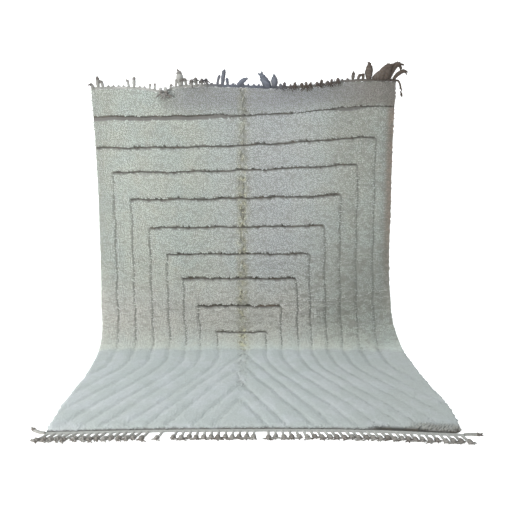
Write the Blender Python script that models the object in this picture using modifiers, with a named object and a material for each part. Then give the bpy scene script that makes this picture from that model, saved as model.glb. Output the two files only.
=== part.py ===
"""A thick wool pile rug, hung by its top edge and run out over the floor.

The rug is drawn flat first: "across" runs from its left side to its right side with zero
in the middle, and "down" runs from its top edge to its front edge. The carved grooves are
laid out in that flat plan. The drape then carries each plan point down the hanging part,
round the bend and out over the floor. The origin is the middle of the top edge, -Y faces
the viewer and +Z is up.
"""

import math

import bmesh
import bpy
import numpy as np
from mathutils import Vector, geometry, noise

# The flat rug, in metres.
RUG_WIDTH = 2.5
RUG_LENGTH = 3.55
PILE = 0.026
GROOVE_DEPTH = 0.014
GROOVE_WIDTH = 0.036
FLOOR = -2.2
GAP = 0.0003

# How the rug hangs, across it: how far the top edge rises above the origin, how far the
# front edge reaches from the hanging part, and the radius of the bend at the floor.
DRAPE_COLUMNS = ("across", "rise", "reach", "radius")
DRAPE = (
    (-1.25, -0.018, 1.468, 0.24),
    (-0.95, -0.018, 1.455, 0.22),
    (-0.67, -0.016, 1.444, 0.21),
    (-0.40, -0.012, 1.438, 0.20),
    (0.00, 0.002, 1.433, 0.20),
    (0.60, 0.042, 1.440, 0.22),
    (0.85, 0.062, 1.453, 0.26),
    (1.05, 0.074, 1.470, 0.30),
    (1.25, 0.082, 1.485, 0.36),
)
RISE_FADE_START = 0.2
RISE_FADE_END = 1.5

# Where the top edge sags below that rise, across it: only the strip of pile above the
# first groove gives way.
SAG_COLUMNS = ("across", "sag")
SAGS = (
    (-1.25, 0.018),
    (-0.90, 0.018),
    (-0.76, 0.030),
    (-0.66, 0.048),
    (-0.55, 0.016),
    (-0.40, 0.006),
    (0.00, 0.024),
    (0.34, 0.053),
    (0.55, 0.060),
    (0.85, 0.043),
    (1.25, 0.054),
)
SAG_FADE = 0.30
HANG_FADE_START = 1.5
HANG_FADE_END = 2.0

# Where the two sides lie, down the rug: the cloth sways to the right as it comes forward.
SIDE_COLUMNS = ("down", "left", "right")
SIDES = (
    (0.00, -1.240, 1.235),
    (0.50, -1.235, 1.232),
    (1.00, -1.237, 1.243),
    (1.60, -1.248, 1.262),
    (2.00, -1.254, 1.298),
    (2.20, -1.246, 1.334),
    (2.45, -1.214, 1.350),
    (2.70, -1.188, 1.345),
    (2.95, -1.186, 1.356),
    (3.25, -1.184, 1.368),
    (3.55, -1.155, 1.334),
)

# The nested grooves: how far down each one crosses the rug, and its left and right corner.
NEST = (
    (0.478, -1.320, 1.100),
    (0.680, -1.103, 0.955),
    (0.911, -0.957, 0.815),
    (1.153, -0.808, 0.687),
    (1.386, -0.667, 0.555),
    (1.602, -0.533, 0.443),
    (1.846, -0.410, 0.302),
    (2.089, -0.266, 0.172),
)
TOP_GROOVE_DOWN = 0.238
RIGHT_LEG_DRIFT = -0.06
DRIFT_START = 1.85
DRIFT_END = 2.50
FLARE_START = 2.60
FLARE_SLOPE = 0.56
FLARE_SOFTNESS = 0.12

# The chevrons on the floor, under the innermost nested groove, and the rug's middle fold,
# which runs through their tips and up the hanging part as a crease.
CHEVRON_TIPS = (2.37, 2.61, 2.94, 3.19)
CHEVRON_SLOPE = 0.49
MIDDLE_COLUMNS = ("down", "across")
MIDDLE_LINE = (
    (0.00, 0.006),
    (0.90, -0.006),
    (1.80, -0.022),
    (2.20, -0.047),
    (2.60, -0.075),
    (2.95, -0.090),
    (3.55, -0.090),
)

# Creases left by folding, and how unevenly everything lies.
CREASE_DOWN = 1.79
CREASE_WIDTH = 0.05
CREASE_DEPTH = 0.006
MIDDLE_CREASE_SHARE = 0.6
CURL_START = 1.08
CURL_DEPTH = 0.030
LUMP_SIZE = 0.11
LUMP_SHARE = 0.22

# Waves in the hanging cloth and in the lines of the grooves: how fast each one turns across
# and down the rug, in radians a metre, where it starts, and its share of the whole.
CLOTH_WAVES = (
    (4.1, -2.4, 2.17, 0.5),
    (4.1, 2.4, -0.97, 0.5),
    (8.3, -1.7, 0.00, 0.5),
)
WAVE_DEPTH = 0.010
WAVE_START = 0.4
WANDER_ACROSS = (
    (5.0, 17.0, 0.0, 1.0),
    (0.0, 41.0, 0.0, 0.6),
)
WANDER_DOWN = (
    (15.0, 7.0, 0.0, 1.0),
    (37.0, 0.0, 0.0, 0.6),
)
WANDER = 0.0035

# Spacing of the points that make the rug's face.
GROOVE_STEP = 0.15
BEND_START = 1.90
BEND_END = 2.72
FACE_STEP = 0.105
STAGGER = 0.25
SIDE_STEP = 0.05
LOCK_DEPTH = 0.008
CLEARANCE = 0.042
MERGE = 0.0005

# The end bands and their tassels.
TASSELS = 59
TASSEL_PITCH = RUG_WIDTH / TASSELS
ROOT_WIDTH = 0.016
BAND_THICKNESS = 0.004
FRONT_BAND_DEPTH = 0.036
TOP_BAND_HEIGHT = 0.022

# The front tassels: how unevenly they lean and how their lengths differ from one to the
# next, where they bend, and the ones that have worn off.
FRONT_TASSEL_LENGTH = 0.105
LENGTH_UNEVENNESS = 0.07
LENGTH_TURN = 3.7
LEAN_UNEVENNESS = 0.003
LEAN_TURN = 2.3
FRONT_KNEE_SIDE = 0.3
FRONT_KNEE_FORWARD = 0.5
MISSING_FRONT_TASSELS = (15, 17, 30)

# A tassel's rings from its root to its end: the share of its length at which each one
# stands, its width and its height. The last third is the tassel's knot and its tail.
RINGS = (
    (0.30, 0.016, 0.012),
    (0.58, 0.017, 0.013),
    (0.76, 0.026, 0.022),
    (1.00, 0.018, 0.012),
)

# How far the front tassels lean sideways, across the rug.
LEAN_COLUMNS = ("across", "lean")
LEANS = (
    (-1.25, -0.070),
    (-1.10, -0.052),
    (-0.60, -0.040),
    (-0.45, -0.012),
    (0.10, 0.000),
    (0.30, 0.026),
    (0.80, 0.030),
    (1.00, 0.010),
    (1.25, 0.028),
)

# The strands that have come loose at the ends of a band: where each one's knee and its
# end lie from the band's end face, sideways, forward and up.
FRONT_LEFT_LOOSE = ((-0.069, 0.0, 0.0), (-0.115, -0.075, 0.0))
FRONT_RIGHT_LOOSE = ((0.066, 0.0, 0.0), (0.110, 0.006, 0.0))
TOP_RIGHT_LOOSE = ((0.045, 0.004, 0.020), (0.052, 0.012, -0.190))

# The top tassels that don't simply hang behind: each one's number, how far its end lies
# sideways, forward and up from its root, how high it arches on the way, and how thick it is
# next to a plain tassel.
TOP_TASSELS = (
    (0, -0.030, 0.012, 0.022, 0.022, 1.3),
    (1, 0.000, 0.010, 0.085, 0.050, 1.4),
    (2, -0.014, 0.015, 0.046, 0.035, 1.3),
    (7, -0.012, 0.010, 0.055, 0.040, 1.2),
    (8, 0.006, 0.010, 0.085, 0.050, 1.3),
    (11, 0.008, 0.012, 0.030, 0.025, 1.0),
    (12, 0.004, 0.015, 0.050, 0.030, 1.0),
    (13, 0.018, 0.046, -0.080, 0.035, 1.2),
    (14, 0.018, 0.050, -0.095, 0.035, 1.2),
    (15, 0.010, 0.014, 0.020, 0.022, 1.1),
    (16, 0.014, 0.012, 0.055, 0.040, 1.2),
    (17, -0.016, 0.010, 0.118, 0.080, 1.7),
    (18, -0.008, 0.015, 0.048, 0.035, 1.3),
    (19, 0.004, 0.026, 0.022, 0.030, 1.3),
    (20, 0.006, 0.016, 0.040, 0.030, 1.3),
    (21, -0.002, 0.020, 0.034, 0.030, 1.3),
    (22, 0.004, 0.024, 0.020, 0.028, 1.3),
    (24, 0.024, 0.012, 0.075, 0.045, 1.2),
    (25, 0.020, 0.010, 0.122, 0.080, 1.3),
    (26, -0.006, 0.014, 0.050, 0.035, 1.3),
    (28, 0.080, 0.010, 0.052, 0.030, 1.5),
    (33, -0.048, 0.010, 0.112, 0.050, 1.6),
    (34, 0.022, 0.010, 0.072, 0.045, 1.6),
    (35, 0.024, 0.014, 0.026, 0.024, 1.2),
    (36, 0.004, 0.045, -0.055, 0.030, 1.0),
    (37, -0.004, 0.048, -0.065, 0.030, 1.0),
    (38, 0.003, 0.046, -0.060, 0.030, 1.0),
    (39, -0.003, 0.045, -0.070, 0.030, 1.0),
    (40, 0.005, 0.048, -0.055, 0.030, 1.0),
    (41, 0.003, 0.046, -0.065, 0.030, 1.0),
    (42, -0.003, 0.045, -0.060, 0.030, 1.0),
    (43, 0.004, 0.048, -0.062, 0.030, 1.0),
    (44, -0.002, 0.046, -0.055, 0.030, 1.0),
    (45, 0.005, 0.045, -0.058, 0.030, 1.0),
    (46, -0.003, 0.047, -0.060, 0.030, 1.0),
    (47, 0.004, 0.046, -0.050, 0.030, 1.0),
    (50, 0.004, 0.012, 0.056, 0.035, 1.4),
    (51, 0.018, 0.014, 0.030, 0.028, 1.3),
    (52, -0.008, 0.018, 0.034, 0.030, 1.3),
    (53, 0.004, 0.010, 0.116, 0.070, 1.9),
    (54, 0.014, 0.010, 0.072, 0.045, 1.3),
    (55, 0.054, 0.012, 0.116, 0.080, 1.5),
    (56, 0.056, 0.012, 0.122, 0.090, 1.3),
    (57, 0.098, 0.012, 0.090, 0.140, 1.1),
    (58, 0.105, 0.030, 0.050, 0.050, 1.1),
)
TOP_KNEE_SIDE = 0.4
TOP_KNEE_FORWARD = 0.8

# The top tassels that hang behind: how far each one sways, steps back, drops and arches.
BEHIND_SIDE = 0.004
BEHIND_TURN = 2.9
BEHIND_BACK = 0.018
BEHIND_DROP = 0.085
BEHIND_ARCH = 0.030

WOOL_COLOUR = (0.62, 0.63, 0.60, 1.0)
FRINGE_COLOUR = (0.50, 0.47, 0.42, 1.0)
WOOL_ROUGHNESS = 0.95


def clear_scene():
    """Removes whatever the scene holds."""
    for thing in list(bpy.data.objects):
        bpy.data.objects.remove(thing, do_unlink=True)


def table_value(table, columns, name, at):
    """Reads a column at places along the first one, on a smooth curve through the rows."""
    rows = np.array(table)
    place = rows[:, 0]
    value = rows[:, columns.index(name)]
    slope = np.gradient(value, place)
    first = np.clip(np.searchsorted(place, at) - 1, 0, len(place) - 2)
    span = place[first + 1] - place[first]
    t = np.clip((at - place[first]) / span, 0.0, 1.0)
    ease = t * t * (3.0 - 2.0 * t)
    bend_out = t * (1.0 - t) ** 2 * slope[first]
    bend_in = t * t * (t - 1.0) * slope[first + 1]
    return value[first] * (1.0 - ease) + value[first + 1] * ease + span * (bend_out + bend_in)


def smooth_step(value, start, end):
    """Rises smoothly from 0 at start to 1 at end."""
    t = np.clip((value - start) / (end - start), 0.0, 1.0)
    return t * t * (3.0 - 2.0 * t)


def waves(table, across, down):
    """Adds up a table's waves at plan points."""
    total = np.zeros(np.shape(across))
    for turn_across, turn_down, start, share in table:
        total += share * np.sin(across * turn_across + down * turn_down + start)
    return total


def drape(across, down):
    """Carries plan points to the woven back of the hung rug, as an array of positions."""
    across = np.asarray(across, dtype=float)
    down = np.asarray(down, dtype=float)
    rise = table_value(DRAPE, DRAPE_COLUMNS, "rise", across)
    reach = table_value(DRAPE, DRAPE_COLUMNS, "reach", across)
    radius = table_value(DRAPE, DRAPE_COLUMNS, "radius", across)
    left = table_value(SIDES, SIDE_COLUMNS, "left", down)
    right = table_value(SIDES, SIDE_COLUMNS, "right", down)
    fall = -FLOOR - radius
    bend = radius * math.pi / 2.0
    run = down / RUG_LENGTH * (fall + bend + reach - radius)
    turn = np.clip((run - fall) / radius, 0.0, math.pi / 2.0)
    laid = np.maximum(run - fall - bend, 0.0)
    x = left + (right - left) * (across / RUG_WIDTH + 0.5)
    y = -radius * (1.0 - np.cos(turn)) - laid
    z = FLOOR + radius * (1.0 - np.sin(turn)) + np.maximum(fall - run, 0.0)
    z += rise * (1.0 - smooth_step(down, RISE_FADE_START, RISE_FADE_END))
    z -= table_value(SAGS, SAG_COLUMNS, "sag", across) * (1.0 - smooth_step(down, 0.0, SAG_FADE))
    hanging = 1.0 - smooth_step(down, HANG_FADE_START, HANG_FADE_END)
    swing = hanging * smooth_step(down, 0.0, WAVE_START)
    y += WAVE_DEPTH * swing * waves(CLOTH_WAVES, across, down)
    y += CURL_DEPTH * hanging * smooth_step(np.abs(across), CURL_START, RUG_WIDTH / 2.0) ** 2
    y -= CREASE_DEPTH * np.exp(-(((down - CREASE_DOWN) / CREASE_WIDTH) ** 2))
    return np.stack([x, y, z], axis=-1)


def spread(down):
    """How far a leg has moved outward: nothing at first, then a steady slope on the floor."""
    past = down - FLARE_START
    return FLARE_SLOPE * (np.sqrt(past**2 + FLARE_SOFTNESS**2) + past) / 2.0


def rows_down(start, step):
    """Places from a start to past the front edge, twice as close together round the bend."""
    above = np.arange(start, BEND_START - step / 3.0, step)
    bend = np.arange(max(start, BEND_START), BEND_END, step / 2.0)
    below = np.arange(BEND_END, RUG_LENGTH + step, step)
    return np.concatenate([above, bend, below])


def leg(down, corner, outward):
    """One side of a nested groove, from its corner to the rug's front edge."""
    rows = rows_down(down, GROOVE_STEP)
    places = corner + outward * (spread(rows) - spread(down))
    if outward > 0.0:
        places += RIGHT_LEG_DRIFT * smooth_step(rows, DRIFT_START, DRIFT_END)
    return np.stack([places, rows], axis=-1)


def crossing(down, left, right):
    """The stretch of a groove that runs across the rug, without its two ends."""
    steps = max(2, round((right - left) / GROOVE_STEP))
    places = np.linspace(left, right, steps + 1)[1:-1]
    return np.stack([places, np.full(len(places), down)], axis=-1)


def nested_groove(down, left, right):
    """Down the left side, across and down the right side, as one line of plan points."""
    left_leg = leg(down, left, -1.0)[::-1]
    right_leg = leg(down, right, 1.0)
    return np.concatenate([left_leg, crossing(down, left, right), right_leg])


def middle_line(down):
    """Where the middle fold lies across the rug."""
    return table_value(MIDDLE_LINE, MIDDLE_COLUMNS, "across", down)


def chevron(tip):
    """A groove that opens downward from its tip to the front edge."""
    rows = np.arange(tip, RUG_LENGTH + GROOVE_STEP, GROOVE_STEP)
    opening = CHEVRON_SLOPE * (rows - tip)
    left = np.stack([middle_line(rows) - opening, rows], axis=-1)
    right = np.stack([middle_line(rows) + opening, rows], axis=-1)
    return np.concatenate([left[:0:-1], right])


def wandered(line):
    """The same line, drawn by an unsteady hand."""
    across, down = line[:, 0], line[:, 1]
    shift_across = waves(WANDER_ACROSS, across, down)
    shift_down = waves(WANDER_DOWN, across, down)
    return line + WANDER * np.stack([shift_across, shift_down], axis=-1)


def groove_lines():
    """The middle lines of all carved grooves, in the flat plan."""
    half = RUG_WIDTH / 2.0 + GROOVE_STEP / 2.0
    lines = [crossing(TOP_GROOVE_DOWN, -half, half)]
    lines += [nested_groove(*row) for row in NEST]
    lines += [chevron(tip) for tip in CHEVRON_TIPS]
    return [wandered(line) for line in lines]


def beside(line, distance):
    """A line at a distance to one side of another, mitred at its corners."""
    step = np.diff(line, axis=0)
    step /= np.linalg.norm(step, axis=1)[:, None]
    normal = np.stack([-step[:, 1], step[:, 0]], axis=-1)
    before = np.concatenate([normal[:1], normal])
    after = np.concatenate([normal, normal[-1:]])
    reach = 1.0 + np.sum(before * after, axis=1)
    return line + distance * (before + after) / reach[:, None]


def distance_to(lines, points):
    """Each point's distance to the nearest of the lines."""
    nearest = np.full(len(points), np.inf)
    for line in lines:
        for start, end in zip(line[:-1], line[1:]):
            along = end - start
            t = np.clip((points - start) @ along / (along @ along), 0.0, 1.0)
            foot = start + t[:, None] * along
            nearest = np.minimum(nearest, np.linalg.norm(points - foot, axis=1))
    return nearest


def band_stations():
    """Places across an end of the rug: its two corners and both sides of each tassel's root."""
    stations = [-RUG_WIDTH / 2.0]
    for number in range(TASSELS):
        middle = tassel_place(number)
        stations += [middle - ROOT_WIDTH / 2.0, middle + ROOT_WIDTH / 2.0]
    return stations + [RUG_WIDTH / 2.0]


def tassel_place(number):
    """Where a tassel stands across the rug, counted from the left."""
    return -RUG_WIDTH / 2.0 + (number + 0.5) * TASSEL_PITCH


def side_rows():
    """Places down the rug's sides: each lock of pile is two steps long."""
    return np.linspace(0.0, RUG_LENGTH, 2 * round(RUG_LENGTH / SIDE_STEP / 2.0) + 1)


def half_width(down):
    """From the rug's middle to its side, which goes out and in with the locks."""
    rows = side_rows()
    inset = LOCK_DEPTH * (np.arange(len(rows)) % 2)
    return np.interp(down, rows, RUG_WIDTH / 2.0 - inset)


def rug_outline():
    """The flat rug's outline: plain ends, and locks of pile standing out along its sides."""
    ends = np.array(band_stations())
    top = np.stack([ends, np.zeros(len(ends))], axis=-1)
    front = np.stack([ends[::-1], np.full(len(ends), RUG_LENGTH)], axis=-1)
    rows = side_rows()[1:-1]
    right = np.stack([half_width(rows), rows], axis=-1)
    left = np.stack([-half_width(rows), rows], axis=-1)[::-1]
    return np.concatenate([top, right, front, left])


def face_points(lines, outline):
    """Staggered points over the rug's face, clear of the grooves and of the edge."""
    points = []
    rows = rows_down(FACE_STEP / 2.0, FACE_STEP)
    columns = int(RUG_WIDTH / FACE_STEP)
    for row, down in enumerate(rows[rows < RUG_LENGTH]):
        for column in range(columns):
            stagger = STAGGER if row % 2 else -STAGGER
            across = (column + 0.5 + stagger) * RUG_WIDTH / columns - RUG_WIDTH / 2.0
            points.append((across, down))
    points = np.array(points)
    clear_of_grooves = distance_to(lines, points) > CLEARANCE
    clear_of_edge = distance_to([np.concatenate([outline, outline[:1]])], points) > CLEARANCE
    return points[clear_of_grooves & clear_of_edge]


def rug_plan(lines):
    """Triangles of the flat rug that follow its outline and both shoulders of each groove."""
    outline = rug_outline()
    points = list(outline)
    edges = [(n, (n + 1) % len(outline)) for n in range(len(outline))]
    for line in lines:
        inside = np.abs(line[:, 0]) < RUG_WIDTH / 2.0 + GROOVE_STEP
        for row in (line, beside(line, GROOVE_WIDTH / 2.0), beside(line, -GROOVE_WIDTH / 2.0)):
            row = row[inside]
            first = len(points)
            points += list(row)
            edges += [(first + n, first + n + 1) for n in range(len(row) - 1)]
    points += list(face_points(lines, outline))
    flat = [Vector((across, -down)) for across, down in points]
    corners, _, triangles = geometry.delaunay_2d_cdt(flat, edges, [], 0, MERGE)[:3]
    plan = np.array([(corner.x, -corner.y) for corner in corners])
    triangles = np.array(triangles)
    middle = plan[triangles].mean(axis=1)
    inside_sides = np.abs(middle[:, 0]) < half_width(middle[:, 1])
    inside_ends = np.abs(middle[:, 1] / RUG_LENGTH - 0.5) < 0.5
    triangles = triangles[inside_sides & inside_ends]
    used, renumbered = np.unique(triangles, return_inverse=True)
    return plan[used], renumbered.reshape(-1, 3).tolist()


def pile_share(lines, plan):
    """How high the pile stands at each plan point: 0 on a groove's bottom, 1 at its full height."""
    share = smooth_step(distance_to(lines, plan), 0.0, GROOVE_WIDTH / 2.0)
    lumps = [noise.noise(Vector((across, down, 0.0)) / LUMP_SIZE) for across, down in plan]
    share *= 1.0 - LUMP_SHARE * (0.5 + np.array(lumps))
    aside = plan[:, 0] - middle_line(plan[:, 1])
    middle = np.exp(-((aside / CREASE_WIDTH) ** 2))
    fold = np.exp(-(((plan[:, 1] - CREASE_DOWN) / CREASE_WIDTH) ** 2))
    share -= CREASE_DEPTH / GROOVE_DEPTH * np.maximum(middle * MIDDLE_CREASE_SHARE, fold)
    return np.clip(share, 0.0, 1.0)


def new_part(name, material, collection):
    """An empty mesh object of a given name and material in the rug's collection."""
    mesh = bpy.data.meshes.new(name)
    part = bpy.data.objects.new(name, mesh)
    part.data.materials.append(material)
    collection.objects.link(part)
    return part


def make_rug(material, collection):
    """The pile cloth: its woven back is draped, and the pile is raised from it by its height."""
    lines = groove_lines()
    plan, triangles = rug_plan(lines)
    rug = new_part("rug", material, collection)
    rug.data.from_pydata(drape(plan[:, 0], plan[:, 1]).tolist(), [], triangles)
    heights = rug.vertex_groups.new(name="pile_height")
    for number, share in enumerate(pile_share(lines, plan)):
        heights.add([number], float(share), "REPLACE")
    pile = rug.modifiers.new("pile", "SOLIDIFY")
    pile.thickness = PILE
    pile.offset = 1.0
    pile.vertex_group = heights.name
    pile.thickness_vertex_group = 1.0 - GROOVE_DEPTH / PILE
    return rug


def make_band(low_line, width_step, thickness_step):
    """A flat-woven band along a line of points: its mesh, its outer faces and its two ends."""
    mesh = bmesh.new()
    corners = (Vector(), width_step, width_step + thickness_step, thickness_step)
    rings = [[mesh.verts.new(Vector(point) + corner) for corner in corners] for point in low_line]
    outer = []
    for ring, following in zip(rings[:-1], rings[1:]):
        for side in range(4):
            after = (side + 1) % 4
            quad = (ring[side], following[side], following[after], ring[after])
            face = mesh.faces.new(quad)
            if side == 1:
                outer.append(face)
    ends = [mesh.faces.new(rings[0]), mesh.faces.new(rings[-1][::-1])]
    bmesh.ops.recalc_face_normals(mesh, faces=mesh.faces)
    return mesh, outer, ends


def grow_tassel(mesh, root, knee, end, side_axis, thickness=1.0):
    """Grows a tassel out of a band's face, on a curve from the face by a knee to its end."""
    middle = root.calc_center_median()
    long_edge = max(root.edges, key=lambda edge: edge.calc_length())
    width_axis = (long_edge.verts[1].co - long_edge.verts[0].co).normalized()
    if width_axis.dot(side_axis) < 0.0:
        width_axis.negate()
    lift = width_axis.cross(root.normal).normalized()
    corners = []
    for vert in root.verts:
        across = math.copysign(1.0, (vert.co - middle).dot(width_axis))
        above = 1.0 if (vert.co - middle).dot(lift) > 0.0 else 0.0
        corners.append((across, above))
    start = middle - lift * BAND_THICKNESS / 2.0
    length = (knee - start).length + (end - knee).length
    girth = thickness * min(1.0, length / FRONT_TASSEL_LENGTH)
    face = root
    for along, width, height in RINGS:
        point = start * (1.0 - along) ** 2 + knee * 2.0 * along * (1.0 - along) + end * along**2
        heading = (knee - start).lerp(end - knee, along).normalized()
        side = (side_axis - heading * side_axis.dot(heading)).normalized()
        lift = side.cross(heading)
        face = bmesh.ops.extrude_discrete_faces(mesh, faces=[face])["faces"][0]
        for vert, (across, above) in zip(face.verts, corners):
            vert.co = point + side * across * width * girth / 2.0 + lift * above * height * girth


def grow_loose(mesh, root, height, loose, side_axis):
    """Grows a loose strand out of a band's end face, starting at a given height."""
    start = root.calc_center_median()
    start.z = height
    knee, end = [start + Vector((side, -forward, up)) for side, forward, up in loose]
    grow_tassel(mesh, root, knee, end, side_axis)


def make_front_fringe(material, collection):
    """The band at the rug's front edge, its row of tassels and a loose one at each corner."""
    part = new_part("fringe_front", material, collection)
    stations = np.array(band_stations())
    edge = drape(stations, np.full(len(stations), RUG_LENGTH)) - (0.0, GAP, 0.0)
    outward = Vector((0.0, -FRONT_BAND_DEPTH, 0.0))
    mesh, outer, ends = make_band(edge, outward, Vector((0.0, 0.0, BAND_THICKNESS)))
    for number in range(TASSELS):
        if number in MISSING_FRONT_TASSELS:
            continue
        root = outer[2 * number + 1]
        place = np.array(tassel_place(number))
        lean = float(table_value(LEANS, LEAN_COLUMNS, "lean", place))
        lean += LEAN_UNEVENNESS * math.sin(number * LEAN_TURN)
        unevenness = LENGTH_UNEVENNESS * math.sin(number * LENGTH_TURN)
        length = FRONT_TASSEL_LENGTH * (1.0 + unevenness)
        start = root.calc_center_median()
        start.z = FLOOR
        end = start + Vector((lean, -length, 0.0))
        knee = start + Vector((lean * FRONT_KNEE_SIDE, -length * FRONT_KNEE_FORWARD, 0.0))
        grow_tassel(mesh, root, knee, end, Vector((-1.0, 0.0, 0.0)))
    left, right = ends
    grow_loose(mesh, left, FLOOR, FRONT_LEFT_LOOSE, Vector((0.0, 1.0, 0.0)))
    grow_loose(mesh, right, FLOOR, FRONT_RIGHT_LOOSE, Vector((0.0, -1.0, 0.0)))
    mesh.to_mesh(part.data)
    mesh.free()


def make_top_fringe(material, collection):
    """The band at the top edge: some tassels stand up or fall forward, the rest hang behind."""
    part = new_part("fringe_top", material, collection)
    stations = np.array(band_stations())
    edge = drape(stations, np.zeros(len(stations))) + (0.0, -BAND_THICKNESS, GAP)
    upward = Vector((0.0, 0.0, TOP_BAND_HEIGHT))
    mesh, outer, ends = make_band(edge, upward, Vector((0.0, BAND_THICKNESS, 0.0)))
    shaped = {row[0]: row[1:] for row in TOP_TASSELS}
    for number in range(TASSELS):
        root = outer[2 * number + 1]
        start = root.calc_center_median()
        sway = BEHIND_SIDE * math.sin(number * BEHIND_TURN)
        behind = (sway, -BEHIND_BACK, -BEHIND_DROP, BEHIND_ARCH, 1.0)
        side, forward, up, arch, thickness = shaped.get(number, behind)
        end = start + Vector((side, -forward, up))
        knee = start + Vector((side * TOP_KNEE_SIDE, -forward * TOP_KNEE_FORWARD, arch))
        direction = -1.0 if forward > 0.0 else 1.0
        grow_tassel(mesh, root, knee, end, Vector((direction, 0.0, 0.0)), thickness)
    right = ends[1]
    height = right.calc_center_median().z
    grow_loose(mesh, right, height, TOP_RIGHT_LOOSE, Vector((0.0, 0.0, 1.0)))
    mesh.to_mesh(part.data)
    mesh.free()


def wool(name, colour):
    """A dull wool finish of one colour."""
    material = bpy.data.materials.new(name)
    material.use_nodes = True
    shader = material.node_tree.nodes["Principled BSDF"]
    shader.inputs["Base Color"].default_value = colour
    shader.inputs["Roughness"].default_value = WOOL_ROUGHNESS
    shader.inputs["Metallic"].default_value = 0.0
    return material


def main():
    """Builds the rug and its two fringes."""
    clear_scene()
    collection = bpy.data.collections.new("beni_ourain_rug")
    bpy.context.scene.collection.children.link(collection)
    fringe_wool = wool("fringe_wool", FRINGE_COLOUR)
    make_rug(wool("pile_wool", WOOL_COLOUR), collection)
    make_front_fringe(fringe_wool, collection)
    make_top_fringe(fringe_wool, collection)


main()
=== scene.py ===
"""The looks of a thick wool pile rug, hung by its top edge and run out over the floor.

A place on the rug is given by "across", from its left side to its right with zero in the
middle, and "down", from its top edge to its front edge, both in metres of flat rug.
"""

import math

import bpy
import numpy as np
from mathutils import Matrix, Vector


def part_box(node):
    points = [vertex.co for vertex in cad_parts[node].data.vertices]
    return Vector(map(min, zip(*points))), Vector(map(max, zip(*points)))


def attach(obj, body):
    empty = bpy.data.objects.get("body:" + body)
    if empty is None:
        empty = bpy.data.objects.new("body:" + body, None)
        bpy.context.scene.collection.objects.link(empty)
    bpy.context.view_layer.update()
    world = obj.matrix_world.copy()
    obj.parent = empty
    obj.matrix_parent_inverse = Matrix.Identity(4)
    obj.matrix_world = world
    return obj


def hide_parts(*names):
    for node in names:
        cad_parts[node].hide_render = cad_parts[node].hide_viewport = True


bl_info = {
    "name": "Pile rug",
    "version": (1, 0, 0),
    "blender": (4, 5, 0),
    "location": "3D View > Sidebar > Rug",
    "description": "Builds the looks of a carved wool pile rug on its packed frame",
    "category": "Object",
}

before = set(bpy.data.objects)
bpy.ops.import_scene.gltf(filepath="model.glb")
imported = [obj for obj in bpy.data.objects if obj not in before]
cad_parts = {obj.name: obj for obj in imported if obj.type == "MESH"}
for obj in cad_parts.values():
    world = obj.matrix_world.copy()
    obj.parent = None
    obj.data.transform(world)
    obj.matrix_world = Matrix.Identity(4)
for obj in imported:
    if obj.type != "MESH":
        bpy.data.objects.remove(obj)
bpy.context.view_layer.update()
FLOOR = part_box("rug")[0][2]

RUG_WIDTH = 2.5
RUG_LENGTH = 3.55
HALF = RUG_WIDTH / 2.0

# How the rug hangs, across it: the rise of its top edge, the reach of its front edge and
# the radius of its bend at the floor.
DRAPE = (
    (-1.25, -0.018, 1.468, 0.24), (-0.95, -0.018, 1.455, 0.22), (-0.67, -0.016, 1.444, 0.21),
    (-0.4, -0.012, 1.438, 0.2), (0.0, 0.002, 1.433, 0.2), (0.6, 0.042, 1.44, 0.22),
    (0.85, 0.062, 1.453, 0.26), (1.05, 0.074, 1.47, 0.3), (1.25, 0.082, 1.485, 0.36),
)

# Where the top edge sags below that rise, across it.
SAGS = (
    (-1.25, 0.018), (-0.9, 0.018), (-0.76, 0.03), (-0.66, 0.048), (-0.55, 0.016), (-0.4, 0.006),
    (0.0, 0.024), (0.34, 0.053), (0.55, 0.06), (0.85, 0.043), (1.25, 0.054),
)

# Where the two sides lie, down the rug.
SIDES = (
    (0.0, -1.24, 1.235), (0.5, -1.235, 1.232), (1.0, -1.237, 1.243), (1.6, -1.248, 1.262),
    (2.0, -1.254, 1.298), (2.2, -1.246, 1.334), (2.45, -1.214, 1.35), (2.7, -1.188, 1.345),
    (2.95, -1.186, 1.356), (3.25, -1.184, 1.368), (3.55, -1.155, 1.334),
)

# Waves in the hanging cloth and in the grooves: turns across and down in radians a metre,
# where each one starts, and its share.
CLOTH_WAVES = ((4.1, -2.4, 2.17, 0.5), (4.1, 2.4, -0.97, 0.5), (8.3, -1.7, 0.0, 0.5))
WANDER_ACROSS = ((5.0, 17.0, 0.0, 1.0), (0.0, 41.0, 0.0, 0.6))
WANDER_DOWN = ((15.0, 7.0, 0.0, 1.0), (37.0, 0.0, 0.0, 0.6))
WANDER = 0.0035
WAVE_DEPTH = 0.010
CURL_DEPTH = 0.030
CREASE_HEIGHT = 0.006
NUDGE = 0.002

# The nested grooves: how far down each one crosses the rug, its left and right corner and
# half the gap that shows in its crossing part.
NEST = (
    (0.478, -1.32, 1.1, 0.0085), (0.68, -1.103, 0.955, 0.0085), (0.911, -0.957, 0.815, 0.0105),
    (1.153, -0.808, 0.687, 0.009), (1.386, -0.667, 0.555, 0.009),
    (1.602, -0.533, 0.443, 0.0115), (1.846, -0.41, 0.302, 0.0125),
    (2.089, -0.266, 0.172, 0.009),
)

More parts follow.
